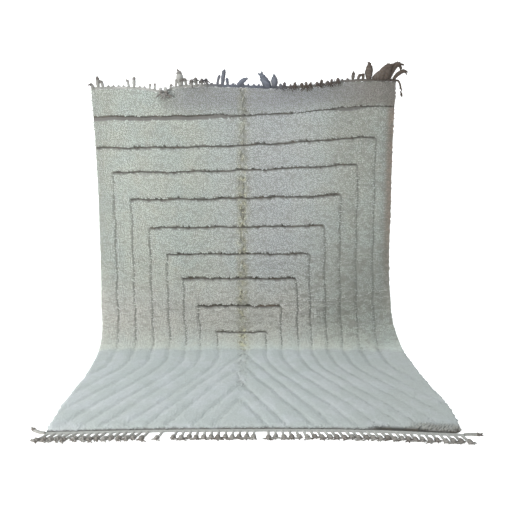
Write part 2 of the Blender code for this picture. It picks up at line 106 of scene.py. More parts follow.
# Half the gap across the rug, in the top groove and along the front edge.
TOP_GROOVE_DOWN = 0.238
TOP_GROOVE_GAPS = (
    (-1.25, 0.017), (-0.3, 0.016), (-0.05, 0.01), (0.45, 0.006), (0.72, 0.007), (0.8, 0.0135),
    (0.93, 0.013), (1.02, 0.006), (1.25, 0.006),
)
EDGE_GAPS = (
    (-1.25, 0.004), (-0.6, 0.008), (-0.2, 0.007), (0.5, 0.006), (0.69, 0.008), (0.77, 0.03),
    (0.84, 0.032), (0.88, 0.02), (0.92, 0.034), (0.98, 0.03), (1.05, 0.01), (1.25, 0.012),
)
LEG_GAP = 0.0012
FLOOR_GAP = -0.0040
CORNER = 0.026
RIGHT_LEG_DRIFT = -0.06
DRIFT_START = 1.85
DRIFT_END = 2.50
FLARE_START = 2.60
FLARE_SLOPE = 0.56
FLARE_SOFTNESS = 0.12
CHEVRON_TIPS = (2.37, 2.61, 2.94, 3.19)
CHEVRON_SLOPE = 0.49
GROOVE_STEP = 0.05
GROOVE_REACH = 0.06

# How ragged the grooves' edges are, across and down the rug: the depth of the coarse and the
# fine noise, and its seed. Then the size of each noise.
RAGGED = ((0.005, 0.006, 11), (0.007, 0.010, 12))
RAGGED_COARSE = 0.035
RAGGED_FINE = 0.013

# Where the middle fold lies across the rug, down it.
MIDDLE_LINE = (
    (0.0, 0.006), (0.9, -0.006), (1.8, -0.022), (2.2, -0.047), (2.6, -0.075), (2.95, -0.09),
    (3.55, -0.09),
)
CREASE_DOWN = 1.79
CREASE_RISE = 0.14
CREASE_RISE_START = 0.72
FRONT_CORNER = 0.06
FLOOR_DOWN = 2.28

# Small wrinkles in the hanging cloth: middle across and down, half length, slope, height.
WRINKLES = (
    (0.36, 1.835, 0.1, 0.16, 0.006), (0.52, 1.905, 0.12, 0.22, 0.007),
    (0.66, 1.875, 0.09, -0.1, 0.005), (0.3, 1.96, 0.08, 0.28, 0.004),
)
WRINKLE_WIDTH = 0.014

# The locks of pile: their spacing and radii across and down, how low their roots stand,
# how they lean, and the height, girth and share of the lean of each ring.
LOCK_STEP = (0.0175, 0.0101)
LOCK_SHIFT = 0.28
LOCK_RADII = (0.0094, 0.0058)
LOCK_ROOT = 0.006
LOCK_LEAN = 0.0050
LOCK_RINGS = ((0.0, 0.85, 0.0), (0.70, 0.95, 0.45))
LOCK_SIDES = 4
BODY_UNDER_TIPS = 0.010
GROOVE_BED = 0.005
RIM = 0.003
RIM_STEPS = (0.0, 0.005, 0.012, 0.022)
SHOULDER = 0.016
GRID_STEP = 0.0165
GROOVE_LIP = 0.014
FRONT_LIP = (0.90, 1.05)
PILE_PIECES = (
    ("pile_top", -1.0, 0.88),
    ("pile_middle", 0.88, 1.76),
    ("pile_bend", 1.76, 2.66),
    ("pile_floor", 2.66, 9.0),
)

# The end bands and their tassels. Each band's cross-section is rounded, and given round it
# as shares of its width and its thickness.
TASSELS = 59
TASSEL_PITCH = RUG_WIDTH / TASSELS
BAND_THICKNESS = 0.004
FRONT_BAND_DEPTH = 0.028
TOP_BAND_HEIGHT = 0.022
BAND_WIDE = (0.0, 0.0, 0.03, 0.25, 0.5, 0.75, 0.97, 1.0, 1.0, 0.97, 0.75, 0.5, 0.25, 0.03)
BAND_HIGH = (0.25, 0.75, 1.0, 0.9, 1.0, 0.9, 1.0, 0.75, 0.25, 0.0, 0.0, 0.0, 0.0, 0.0)
BAND_STOPS = 420
GAP = 0.0003
FRONT_TASSEL_LENGTH = 0.105
MISSING_FRONT_TASSELS = (15, 17, 30)
LEANS = (
    (-1.25, -0.07), (-1.1, -0.052), (-0.6, -0.04), (-0.45, -0.012), (0.1, 0.0), (0.3, 0.026),
    (0.8, 0.03), (1.0, 0.01), (1.25, 0.028),
)
KNOT_START = 0.56
KNOT_END = 0.80
KNOT_TURNS = 2.2

# How a tassel is made on the floor and at the top edge: its plies, their radius and how
# far they stand from its middle, the knot's coil and yarn, and the tails' number, radius,
# length and spray.
FRONT_MAKE = (3, 0.0042, 0.0034, 0.0100, 0.0070, 8, 0.0056, 0.020, 2.0)
TOP_MAKE = (5, 0.0048, 0.0046, 0.0080, 0.0056, 6, 0.0050, 0.022, 0.15)
TUFT_MAKE = (4, 0.0044, 0.0050, 0.0080, 0.0056, 9, 0.0036, 0.034, 1.5)
TUFT_FORWARD = 0.04
FRONT_LOOSE = (
    (-1.0, -0.069, 0.0, -0.115, -0.075),
    (1.0, 0.066, 0.0, 0.110, 0.006),
)
TOP_RIGHT_LOOSE = ((0.045, 0.004, 0.020), (0.052, 0.012, -0.190))

# The top tassels that don't simply hang behind: number, then how far the end lies
# sideways, forward and up from the root, how high the tassel arches, and its thickness
# next to a plain one.
TOP_TASSELS = (
    (0, -0.03, 0.012, 0.022, 0.022, 1.3), (1, 0.0, 0.01, 0.085, 0.05, 1.4),
    (2, -0.014, 0.015, 0.046, 0.035, 1.3), (7, -0.012, 0.01, 0.055, 0.04, 1.2),
    (8, 0.006, 0.01, 0.085, 0.05, 1.3), (11, 0.008, 0.012, 0.03, 0.025, 1.0),
    (12, 0.004, 0.015, 0.05, 0.03, 1.0), (13, 0.018, 0.046, -0.08, 0.035, 1.2),
    (14, 0.018, 0.05, -0.095, 0.035, 1.2), (15, 0.01, 0.014, 0.02, 0.022, 1.1),
    (16, 0.014, 0.012, 0.055, 0.04, 1.2), (17, -0.016, 0.01, 0.118, 0.08, 1.7),
    (18, -0.008, 0.042, 0.03, 0.05, 1.3), (19, 0.01, 0.044, 0.004, 0.046, 1.4),
    (20, -0.006, 0.042, 0.022, 0.056, 1.4), (21, 0.01, 0.044, 0.01, 0.048, 1.3),
    (22, -0.004, 0.042, 0.014, 0.046, 1.3), (24, 0.024, 0.012, 0.075, 0.045, 1.2),
    (25, 0.02, 0.01, 0.122, 0.08, 1.3), (26, -0.006, 0.014, 0.05, 0.035, 1.3),
    (28, 0.08, 0.01, 0.052, 0.03, 1.5), (33, -0.03, 0.01, 0.05, 0.04, 1.2),
    (34, -0.082, 0.01, 0.118, 0.02, 1.9), (35, -0.004, 0.014, 0.082, 0.045, 2.1),
    (36, 0.012, 0.045, -0.045, 0.034, 1.1), (37, -0.012, 0.048, -0.03, 0.046, 1.2),
    (38, 0.01, 0.046, -0.055, 0.03, 0.9), (39, -0.014, 0.045, -0.04, 0.044, 1.2),
    (40, 0.018, 0.048, -0.028, 0.036, 1.0), (41, 0.0, 0.046, -0.06, 0.05, 1.2),
    (42, -0.016, 0.045, -0.035, 0.03, 1.1), (43, 0.014, 0.048, -0.05, 0.042, 1.0),
    (44, -0.006, 0.046, -0.03, 0.05, 1.2), (45, 0.016, 0.045, -0.045, 0.034, 0.9),
    (46, -0.014, 0.047, -0.058, 0.044, 1.1), (47, 0.004, 0.046, -0.032, 0.036, 1.2),
    (50, 0.004, 0.012, 0.056, 0.035, 1.4), (51, 0.018, 0.014, 0.03, 0.028, 1.3),
    (52, -0.008, 0.018, 0.034, 0.03, 1.3), (53, 0.004, 0.01, 0.116, 0.07, 1.9),
    (54, 0.1, 0.01, 0.09, 0.02, 1.7), (55, 0.085, 0.012, 0.118, 0.05, 2.1),
    (56, 0.048, 0.012, 0.126, 0.06, 2.1), (57, 0.104, 0.014, 0.086, 0.16, 1.6),
    (58, 0.105, 0.03, 0.056, 0.07, 1.3),
)

# How dark and how blue the top fringe is, across the rug.
TOP_TONES = (
    (-1.25, 0.45, 0.15), (-1.0, 0.15, 0.1), (-0.75, 0.15, 0.1), (-0.55, 0.2, 0.1),
    (-0.36, 0.25, 0.2), (-0.24, 0.7, 0.8), (0.28, 0.7, 0.95), (0.36, 0.7, 0.35),
    (0.7, 0.75, 0.15), (1.0, 0.9, 0.0), (1.25, 1.0, 0.0),
)

CAMERA_PLACE = (0.10, -4.18, -0.61)
CAMERA_PITCH = math.radians(10.75)
CAMERA_LENS = 34.805


# ---------------------------------------------------------------- shared shape functions


def ramp(value, start, end):
    """0 below start, 1 above end, and 3 t squared minus 2 t cubed between."""
    t = np.clip((value - start) / (end - start), 0.0, 1.0)
    return t * t * (3.0 - 2.0 * t)


def fall(value, start, end):
    """1 below start, 0 above end: one minus the ramp."""
    return 1.0 - ramp(value, start, end)


def hump(value, width):
    """A bell: e to the power of minus (value over width) squared."""
    return np.exp(-((value / width) ** 2))


def joined(*columns):
    """Arrays or plain numbers, side by side as the last axis of one array."""
    return np.stack(np.broadcast_arrays(*columns), axis=-1)


def unit(vectors):
    """Vectors over their lengths."""
    return vectors / np.maximum(np.linalg.norm(vectors, axis=-1, keepdims=True), 1e-12)


def circled(angle, aside, lift):
    """Steps round a circle: the angle's cosine times aside plus its sine times lift."""
    return np.cos(angle)[..., None] * aside + np.sin(angle)[..., None] * lift


def read(table, at, column=1):
    """A table's column at places along its first one, on a cubic curve through the rows."""
    rows = np.array(table)
    place, value = rows[:, 0], rows[:, column]
    slope = np.gradient(value, place)
    first = np.clip(np.searchsorted(place, at) - 1, 0, len(place) - 2)
    span = place[first + 1] - place[first]
    t = np.clip((at - place[first]) / span, 0.0, 1.0)
    ease = ramp(t, 0.0, 1.0)
    bend = t * (1.0 - t) ** 2 * slope[first] + t * t * (t - 1.0) * slope[first + 1]
    return value[first] * (1.0 - ease) + value[first + 1] * ease + span * bend


def waves(table, across, down):
    """The sum of share times sine of (across turn + down turn + start)."""
    return sum(s * np.sin(across * a + down * d + start) for a, d, start, s in table)


def mottle(across, down, size, seed):
    """Smooth noise from 0 to 1: seeded random numbers on a square lattice, blended between."""
    table = np.random.default_rng(seed).random((int(4.0 / size) + 3, int(3.0 / size) + 3))
    row = np.clip((down + 0.2) / size, 0.0, table.shape[0] - 2.001)
    column = np.clip((across + 1.5) / size, 0.0, table.shape[1] - 2.001)
    r, c = row.astype(int), column.astype(int)
    fr, fc = ramp(row - r, 0.0, 1.0), ramp(column - c, 0.0, 1.0)
    upper = table[r, c] * (1.0 - fc) + table[r, c + 1] * fc
    lower = table[r + 1, c] * (1.0 - fc) + table[r + 1, c + 1] * fc
    return upper * (1.0 - fr) + lower * fr


def wrinkled(across, down):
    """Heights of the small wrinkles: a bell across each one's line and along its length."""
    height = 0.0
    for middle, place, half, slope, rise in WRINKLES:
        aside = down - place - slope * (across - middle)
        height += rise * hump(aside, WRINKLE_WIDTH) * hump(across - middle, half)
    return height


def drape(across, down):
    """The rug's woven back in space: straight down, round a bend and out over the floor.

    The hanging part also waves, its sides curl back, and its fold crease and wrinkles
    stand forward.
    """
    rise, reach, radius = [read(DRAPE, across, column) for column in (1, 2, 3)]
    left, right = [read(SIDES, down, column) for column in (1, 2)]
    drop = -FLOOR - radius
    bend = radius * math.pi / 2.0
    run = down / RUG_LENGTH * (drop + bend + reach - radius)
    turn = np.clip((run - drop) / radius, 0.0, math.pi / 2.0)
    x = left + (right - left) * (across / RUG_WIDTH + 0.5)
    y = -radius * (1.0 - np.cos(turn)) - np.maximum(run - drop - bend, 0.0)
    z = FLOOR + radius * (1.0 - np.sin(turn)) + np.maximum(drop - run, 0.0)
    z = z + rise * fall(down, 0.2, 1.5) - read(SAGS, across) * fall(down, 0.0, 0.30)
    hanging = fall(down, 1.5, 2.0)
    y = y + WAVE_DEPTH * hanging * ramp(down, 0.0, 0.4) * waves(CLOTH_WAVES, across, down)
    y = y + CURL_DEPTH * hanging * ramp(np.abs(across), 1.08, HALF) ** 2
    y = y - CREASE_HEIGHT * hump(down - CREASE_DOWN, 0.05) - wrinkled(across, down)
    return joined(x, y, z)


def rounded(across, down):
    """Places near the front right corner drawn in, so that the square corner is round.

    Seen from the corner's centre, each place moves to the circle of its larger part.
    """
    aside = np.maximum(across - HALF + FRONT_CORNER, 1e-6)
    along = np.maximum(down - RUG_LENGTH + FRONT_CORNER, 1e-6)
    share = np.maximum(aside, along) / np.hypot(aside, along)
    inside = (aside > 1e-6) & (along > 1e-6)
    across = np.where(inside, across - aside * (1.0 - share), across)
    return across, np.where(inside, down - along * (1.0 - share), down)


def directions(across, down):
    """Places on the drape, with unit vectors across, down and out of the pile side."""
    across, down = rounded(across, down)
    here = drape(across, down)
    sideways = unit(drape(across + NUDGE, down) - here)
    outward = unit(np.cross(drape(across, down + NUDGE) - here, sideways))
    return here, sideways, np.cross(sideways, outward), outward


# ---------------------------------------------------------------- grooves


def spread(down):
    """How far a leg has moved outward: zero, then a soft turn into a steady slope."""
    past = down - FLARE_START
    return FLARE_SLOPE * (np.sqrt(past**2 + FLARE_SOFTNESS**2) + past) / 2.0


def middle_line(down):
    """Where the middle fold lies across the rug."""
    return read(MIDDLE_LINE, down)


def drift(down):
    """How far the right legs have moved inward before they flare."""
    return RIGHT_LEG_DRIFT * ramp(down, DRIFT_START, DRIFT_END)


def groove_lines():
    """The middle line of each carved groove, with half of its gap at each point."""
    whole = np.arange(-HALF - 0.05, HALF + 0.05, GROOVE_STEP)
    lines = [joined(whole, TOP_GROOVE_DOWN, read(TOP_GROOVE_GAPS, whole))]
    turn = np.linspace(0.0, math.pi / 2.0, 5)
    for down, left, right, gap in NEST:
        places = np.linspace(left, right - CORNER, max(3, int((right - left) / GROOVE_STEP)))
        lines.append(joined(places, down, gap))
        places = right + CORNER * (np.sin(turn) - 1.0)
        rows = down + CORNER * (1.0 - np.cos(turn))
        lines.append(joined(places, rows, np.linspace(gap, LEG_GAP, len(turn))))
        for corner, outward, start in ((left, -1.0, down), (right, 1.0, down + CORNER)):
            rows = np.arange(start, RUG_LENGTH + GROOVE_STEP, GROOVE_STEP)
            laid = ramp(rows, 2.1, 2.5)
            places = corner + outward * (spread(rows) - spread(down))
            places = places + max(outward, 0.0) * drift(rows)
            lines.append(joined(places, rows, LEG_GAP * (1.0 - laid) + FLOOR_GAP * laid))
    for tip in CHEVRON_TIPS:
        rows = np.arange(tip, RUG_LENGTH + GROOVE_STEP, GROOVE_STEP)
        for outward in (-1.0, 1.0):
            places = middle_line(rows) + outward * CHEVRON_SLOPE * (rows - tip)
            lines.append(joined(places, rows, FLOOR_GAP))
    edge = joined(whole, RUG_LENGTH, read(EDGE_GAPS, whole))
    return [wandered(line) for line in lines] + [edge]


def wandered(line):
    """A line moved by the two wander waves, its gaps kept."""
    shift = [waves(table, line[:, 0], line[:, 1]) for table in (WANDER_ACROSS, WANDER_DOWN)]
    return line + WANDER * joined(*shift, 0.0)


def groove_room(across, down):
    """How far each place lies outside the nearest groove's gap, and the step to its line.

    The places are first shifted by fine noise, which makes the grooves' edges ragged.
    """
    points = []
    for place, (coarse, fine, seed) in zip((across, down), RAGGED):
        place = place + coarse * (mottle(across, down, RAGGED_COARSE, seed) - 0.5)
        points.append(place + fine * (mottle(across, down, RAGGED_FINE, seed + 2) - 0.5))
    points = joined(*points).reshape(-1, 2)
    room = np.full(len(points), GROOVE_REACH)
    steps = np.zeros((len(points), 2))
    for line in groove_lines():
        low = line[:, :2].min(axis=0) - GROOVE_REACH
        high = line[:, :2].max(axis=0) + GROOVE_REACH
        around = np.nonzero(((points > low) & (points < high)).all(axis=1))[0]
        for start, end in zip(line[:-1], line[1:]):
            low = np.minimum(start, end)[:2] - GROOVE_REACH
            high = np.maximum(start, end)[:2] + GROOVE_REACH
            place = points[around]
            near = around[((place > low) & (place < high)).all(axis=1)]
            along = end[:2] - start[:2]
            t = np.clip((points[near] - start[:2]) @ along / (along @ along), 0.0, 1.0)
            to_foot = start[:2] + t[:, None] * along - points[near]
            outside = np.linalg.norm(to_foot, axis=1) - (start[2] + t * (end[2] - start[2]))
            closer = outside < room[near]
            room[near[closer]] = outside[closer]
            steps[near[closer]] = to_foot[closer]
    return room.reshape(np.shape(across)), steps.reshape(np.shape(across) + (2,))


def edge_room(across, down):
    """The distance to the nearest side or end of the flat rug."""
    return np.minimum(HALF - np.abs(across), np.minimum(down, RUG_LENGTH - down))


def pits(across, down):
    """Small gaps between clumps of wool, from 0 to 1: wider than they are high."""
    clumps = ramp(mottle(across * 0.55, down, 0.0125, 9), 0.52, 0.92)
    return clumps * (1.0 - 0.7 * ramp(down, 2.0, 2.4))


def crossfold(across, down):
    """How far below the fold crease a place lies; the crease rises toward the right side."""
    return down - CREASE_DOWN + CREASE_RISE * np.clip(across - CREASE_RISE_START, 0.0, 1.0)


def crumple(across, down):
    """How broken the pile is along the middle fold, from 0 to 1, in patches."""
    close = hump(across - middle_line(down), 0.046) * fall(down, 2.9, 3.1)
    return close * ramp(mottle(across * 1.2, down * 0.6, 0.014, 4), 0.42, 0.68)


def tip_height(room, across, down, pile):
    """How high the pile's tips stand over the woven back.

    They are lumpy, low in the creases, and sink toward a groove: a little where the rug
    hangs, more at its right, and widely on the floor.
    """
    laid = ramp(down, 1.9, 2.4)
    height = pile - 0.0035 * mottle(across, down, 0.11, 1)
    height = height - (0.0040 - 0.0028 * laid) * mottle(across * 0.6, down, 0.024, 2)
    fold = hump(crossfold(across, down), 0.010) * ramp(across, 0.1, 0.5)
    height = height - 0.010 * crumple(across, down) - 0.006 * fold
    laid, right = ramp(down, 2.0, 2.5), ramp(across, 0.3, 0.8)
    hung = (0.0025 + 0.0045 * right) * fall((room - 0.004) / (1.0 + 1.5 * right), 0.0, 0.014)
    deep = 0.0088 - 0.0045 * ramp(across, 0.2, 0.9) * ramp(down, 2.6, 3.0)
    return height - hung * (1.0 - laid) - deep * laid * fall(room, -0.002, 0.042)


# ---------------------------------------------------------------- meshes


def make_mesh(name, points, faces, marks, finishes):
    """A smooth-shaded mesh object from points, lists of equal-sided faces and point marks."""
    mesh = bpy.data.meshes.new(name)
    corners = np.concatenate([part.ravel() for part in faces]).astype(np.int32)
    sizes = np.concatenate([np.full(len(part), part.shape[1]) for part in faces])
    mesh.vertices.add(len(points))
    mesh.vertices.foreach_set("co", points.astype(np.float32).ravel())
    mesh.loops.add(len(corners))
    mesh.loops.foreach_set("vertex_index", corners)
    mesh.polygons.add(len(sizes))
    mesh.polygons.foreach_set("loop_start", (np.cumsum(sizes) - sizes).astype(np.int32))
    mesh.polygons.foreach_set("use_smooth", np.ones(len(sizes), dtype=bool))
    mesh.update(calc_edges=True)
    for mark, values in marks.items():
        held = mesh.attributes.new(mark, "FLOAT", "POINT")
        held.data.foreach_set("value", values.astype(np.float32).ravel())
    thing = bpy.data.objects.new(name, mesh)
    for finish in finishes:
        mesh.materials.append(finish)
    bpy.context.scene.collection.objects.link(thing)
    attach(thing, "root")
    return thing


def grid_faces(numbers):
    """Quads over a grid of point numbers, turned to face down-cross-across."""
    corners = numbers[:-1, :-1], numbers[1:, :-1], numbers[1:, 1:], numbers[:-1, 1:]
    return joined(*corners).reshape(-1, 4)


def border(numbers):
    """The point numbers round a grid's edge: top, right, bottom, left."""
    top, right, bottom = numbers[0, :-1], numbers[:-1, -1], numbers[-1, :0:-1]
    return np.concatenate([top, right, bottom, numbers[:0:-1, 0]])


def stations(marks, step):
    """Places through all marks, evenly filled in to a step, with an even number of spans."""
    marks = np.unique(np.round(marks, 4))
    spans = [
        np.linspace(a, b, max(1, math.ceil((b - a) / step - 0.05)), endpoint=False)
        for a, b in zip(marks[:-1], marks[1:])
    ]
    places = np.append(np.concatenate(spans), marks[-1])
    if len(places) % 2 == 0:
        places = np.insert(places, -1, (places[-1] + places[-2]) / 2.0)
    return places


def tube_faces(rings, sides):
    """A closed tube's faces: quads between its rings, threes to a last point at each end."""
    numbers = np.arange(rings * sides).reshape(rings, sides)
    following = np.roll(numbers, -1, axis=1)
    quads = joined(numbers[:-1], following[:-1], following[1:], numbers[1:])
    first = joined(following[0], numbers[0], rings * sides)
    last = joined(numbers[-1], following[-1], rings * sides + 1)
    return quads.reshape(-1, 4), np.concatenate([first, last])


class Heap:
    """Gathers tubes and strips, with their marks, into one mesh that stands on a floor."""

    def __init__(self, floor=None):
        self.points, self.quads, self.threes, self.marks = [], [], [], []
        self.count = 0
        self.floor = floor

    def add(self, points, rings, sides, dark, cool):
        """Adds strands of rings, each with its two end points last, and their marks."""
        strands, size = points.shape[:2]
        first = self.count + (np.arange(strands) * size)[:, None, None]
        quads, threes = tube_faces(rings, sides)
        self.points.append(points.reshape(-1, 3))
        self.quads.append((quads + first).reshape(-1, 4))
        self.threes.append((threes + first).reshape(-1, 3))
        self.marks.append([np.broadcast_to(m, (strands, size)).ravel() for m in (dark, cool)])
        self.count += strands * size

    def build(self, name, finish):
        """Makes the piece."""
        dark, cool = np.concatenate(self.marks, axis=1)
        faces = [np.concatenate(self.quads), np.concatenate(self.threes)]
        marks = {"dark": dark, "cool": cool}
        return make_mesh(name, np.concatenate(self.points), faces, marks, [finish])

    def tubes(self, paths, radii, sides, dark, cool):
        """Closed round tubes: rings of a radius about each path, carried along untwisted.

        paths is strands by rings by 3; dark and cool hold a value per strand. A tube that
        would sink into the floor is lifted there.
        """
        if self.floor is not None:
            lifted = np.maximum(paths[..., 2], self.floor + radii)
            paths = joined(paths[..., 0], paths[..., 1], lifted)
        strands, rings = paths.shape[:2]
        heading = unit(np.gradient(paths, axis=1))
        aside = np.zeros_like(paths)
        spare = np.where(np.abs(heading[:, 0, 2:]) < 0.8, (0.0, 0.0, 1.0), (0.0, 1.0, 0.0))
        before = np.cross(heading[:, 0], spare)
        for ring in range(rings):
            before = before - heading[:, ring] * (before * heading[:, ring]).sum(-1, keepdims=True)
            before = unit(before)
            aside[:, ring] = before
        angle = np.arange(sides) * math.tau / sides
        ring = circled(angle, aside[:, :, None], np.cross(heading, aside)[:, :, None])
        points = (paths[:, :, None] + radii[:, :, None, None] * ring).reshape(strands, -1, 3)
        points = np.concatenate([points, paths[:, [0, -1]]], axis=1)
        self.add(points, rings, sides, dark[:, None], cool[:, None])

    def band(self, edge, width, thickness, dark, cool, turned=1):
        """A closed strip: the cross-section, in two steps in space, set along an edge."""
        steps = np.outer(BAND_WIDE, width) + np.outer(BAND_HIGH, thickness)
        points = edge[:, None] + steps[::turned]
        rings, sides = points.shape[:2]
        points = np.concatenate([points.reshape(-1, 3), points[[0, -1]].mean(axis=1)])
        marks = [np.concatenate([np.repeat(mark, sides), mark[[0, -1]]]) for mark in (dark, cool)]
        self.add(points[None], rings, sides, *marks)


# ---------------------------------------------------------------- finishes


class Term:
    """A shader value that adds, subtracts, multiplies and divides as a number does."""

    def __init__(self, finish, socket):
        self.finish, self.socket = finish, socket

    def __add__(self, other):
        return self.finish.math("ADD", self, other)

    def __sub__(self, other):
        return self.finish.math("SUBTRACT", self, other)

    def __rsub__(self, other):
        return self.finish.math("SUBTRACT", other, self)

    def __mul__(self, other):
        return self.finish.math("MULTIPLY", self, other)

    def __truediv__(self, other):
        return self.finish.math("DIVIDE", self, other)

    __radd__ = __add__
    __rmul__ = __mul__


class Finish:
    """A wool finish: a material, its shader, and short ways to add nodes to it."""

    def __init__(self, name, roughness, sheen):
        self.material = bpy.data.materials.new(name)
        self.material.use_nodes = True
        self.tree = self.material.node_tree
        self.shader = self.tree.nodes["Principled BSDF"]
        inputs = self.shader.inputs
        inputs["Roughness"].default_value = roughness
        inputs["Sheen Weight"].default_value = sheen
        inputs["Sheen Roughness"].default_value = 0.6
        inputs["Specular IOR Level"].default_value = 0.10

    def node(self, kind, settings, values, out=0):
        """An output of a new node, with its settings and the values or links of its sockets."""
        node = self.tree.nodes.new(kind)
        for setting, value in settings.items():
            setattr(node, setting, value)
        for place, value in values.items():
            if isinstance(value, Term):
                self.tree.links.new(value.socket, node.inputs[place])
            else:
                node.inputs[place].default_value = value
        return Term(self, node.outputs[out])

    def math(self, operation, *values):
        """A Math node on values or numbers."""
        return self.node("ShaderNodeMath", {"operation": operation}, dict(enumerate(values)))

    def ramp(self, value, start, end):
        """0 below start and 1 above end, with a smooth rise between."""
        settings = {"interpolation_type": "SMOOTHSTEP"}
        values = {"Value": value, "From Min": start, "From Max": end, "To Min": 0.0, "To Max": 1.0}
        return self.node("ShaderNodeMapRange", settings, values)

    def fall(self, value, start, end):
        """1 below start and 0 above end: one minus the ramp."""
        return 1.0 - self.ramp(value, start, end)

    def bell(self, value, width):
        """1 where the value is zero, and falling smoothly to 0 at a width."""
        return self.fall(self.math("ABSOLUTE", value), 0.0, width)

    def mark(self, name):
        """A value that the mesh holds at its points."""
        return self.node("ShaderNodeAttribute", {"attribute_name": name}, {}, "Fac")

    def marks(self, *names):
        """Several such values."""
        return [self.mark(name) for name in names]

    def grain(self, size, detail, stretch=(1.0, 1.0, 1.0)):
        """Noise from 0 to 1 with a size in metres, in the piece's own space."""
        place = self.node("ShaderNodeTexCoord", {}, {}, "Object")
        place = self.node("ShaderNodeMapping", {}, {"Vector": place, "Scale": stretch})
        values = {"Vector": place, "Scale": 1.0 / size, "Detail": detail, "Roughness": 0.6}
        return self.node("ShaderNodeTexNoise", {}, values, "Fac")

    def mix(self, share, low, high):
        """Two colours mixed by a share."""
        settings = {"data_type": "RGBA", "clamp_factor": True}
        return self.node("ShaderNodeMix", settings, {0: share, 6: low, 7: high}, 2)

    def covered(self, colour, *layers):
        """A colour under others, mixed over it in turn: each layer is its share and colour."""
        for share, over in layers:
            colour = self.mix(share, colour, over[:])
        return colour

    def finished(self, colour, height, depth):
        """Links the colour, and a bump whose height of 1 stands a depth out."""
        values = {"Height": height, "Distance": depth, "Strength": 1.0}
        bump = self.node("ShaderNodeBump", {}, values)
        self.tree.links.new(colour.socket, self.shader.inputs["Base Color"])
        self.tree.links.new(bump.socket, self.shader.inputs["Normal"])
        return self.material


def wool_colour(finish, look, across, down):
    """The wool's colour over the whole rug, before its locks are told apart.

    Each row of layers lies where its ramps and bells across and down the rug are high; some
    layers are painted shade and one is a painted highlight, as noted at each.
    """
    ramp, fall, bell, grain = finish.ramp, finish.fall, finish.bell, finish.grain
    colour = finish.mix(ramp(grain(0.34, 2.0), 0.38, 0.62), look.wool[:], look.cool_wool[:])
    hanging = fall(down, 1.4, 2.1)
    fold, pale = finish.marks("fold", "pale")
    spots = ramp(grain(0.018, 1.0, (1.0, 1.0, 0.6)), 0.53, 0.59)
    colour = finish.covered(
        colour,
        (ramp(grain(0.07, 3.0), 0.45, 0.75) * 0.35, look.warm_wool),
        (ramp(across, 1.16, 1.22) * hanging * 0.8, look.side_wool),
        (ramp(across * -1.0, 1.02, 1.25) * hanging * 0.3, look.dull_and_shade_wool),
        (bell(across - 0.25, 0.75) * fall(down, 1.4, 2.0) * 0.65, look.lilac_wool),
        (bell(down - 1.92, 0.45) * fall(across, 0.40, 0.85) * 0.5, look.rosy_wool),
        (ramp(across, -0.75, -0.45) * fall(down, 0.10, 0.30) * 0.75, look.top_wool),
        (ramp(across, 0.70, 1.10) * fall(down, 0.19, 0.25) * 0.65, look.corner_and_shade_wool),
        # Painted shade: the right of the hanging cloth darker, as the light falls off toward it.
        (ramp(across, 0.50, 0.95) * fall(down, 0.25, 1.5) * 0.25, look.corner_and_shade_wool),
        # Painted shade on the lower right of the hanging cloth, where it turns away from the
        # light.
        (ramp(across, 0.25, 1.0) * bell(down - 1.65, 0.75) * 0.6, look.low_right_shade),
        # Painted highlight on the wrinkles' crests and along the fold crease.
        (pale * 0.8, look.highlight_wool),
        (fold * 0.8, look.crease_wool),
        # Painted shade in spots within the middle fold.
        (fold * spots * 0.9, look.root_shade_wool),
    )
    patches = ramp(grain(0.16, 2.0), 0.44, 0.64)
    floor = finish.mix(patches * 0.5, look.floor_wool[:], look.lilac_wool[:])
    # Darker in small patches, and painted shade darkening the floor toward the right.
    shaded = ramp(grain(0.022, 3.0), 0.40, 0.66) * 0.14 + ramp(across, 0.1, 1.0) * 0.16
    floor = finish.mix(shaded, floor, look.dull_and_shade_wool[:])
    laid = ramp(down + 0.16 * grain(0.07, 2.0), FLOOR_DOWN + 0.04, FLOOR_DOWN + 0.12)
    colour = finish.mix(laid * 0.85, colour, floor)
    lip = ramp(across, *FRONT_LIP) * ramp(down, RUG_LENGTH - 0.10, RUG_LENGTH)
    # Painted shade on the lifted pile at the front right corner.
    return finish.mix(lip * 0.6, colour, look.corner_and_shade_wool[:])


def pile_finish(look):
    """Wool locks: pale tips, roots darkened with painted shade, and a fine fibre."""
    finish = Finish("pile_wool", 0.95, look.sheen)
    across, down, tone, tip = finish.marks("across", "down", "tone", "tip")
    laid = finish.ramp(down, 2.0, 2.4)
    # Painted shade: each lock grows darker toward its root, much less on the floor.
    root = finish.fall(tip, 0.15, 0.85) * (1.0 - laid * 0.8) * look.root_shade
    colour = wool_colour(finish, look, across, down)
    # Dull locks, partly at random and partly painted shade, then the roots' painted shade.
    colour = finish.covered(colour, (tone * 0.75, look.dull_and_shade_wool), (root, look.root_shade_wool))
    fibre = finish.grain(0.0035, 3.0) + 0.5 * finish.grain(0.0011, 2.0)
    return finish.finished(colour, fibre * (1.0 - laid * 0.3), 0.0022)


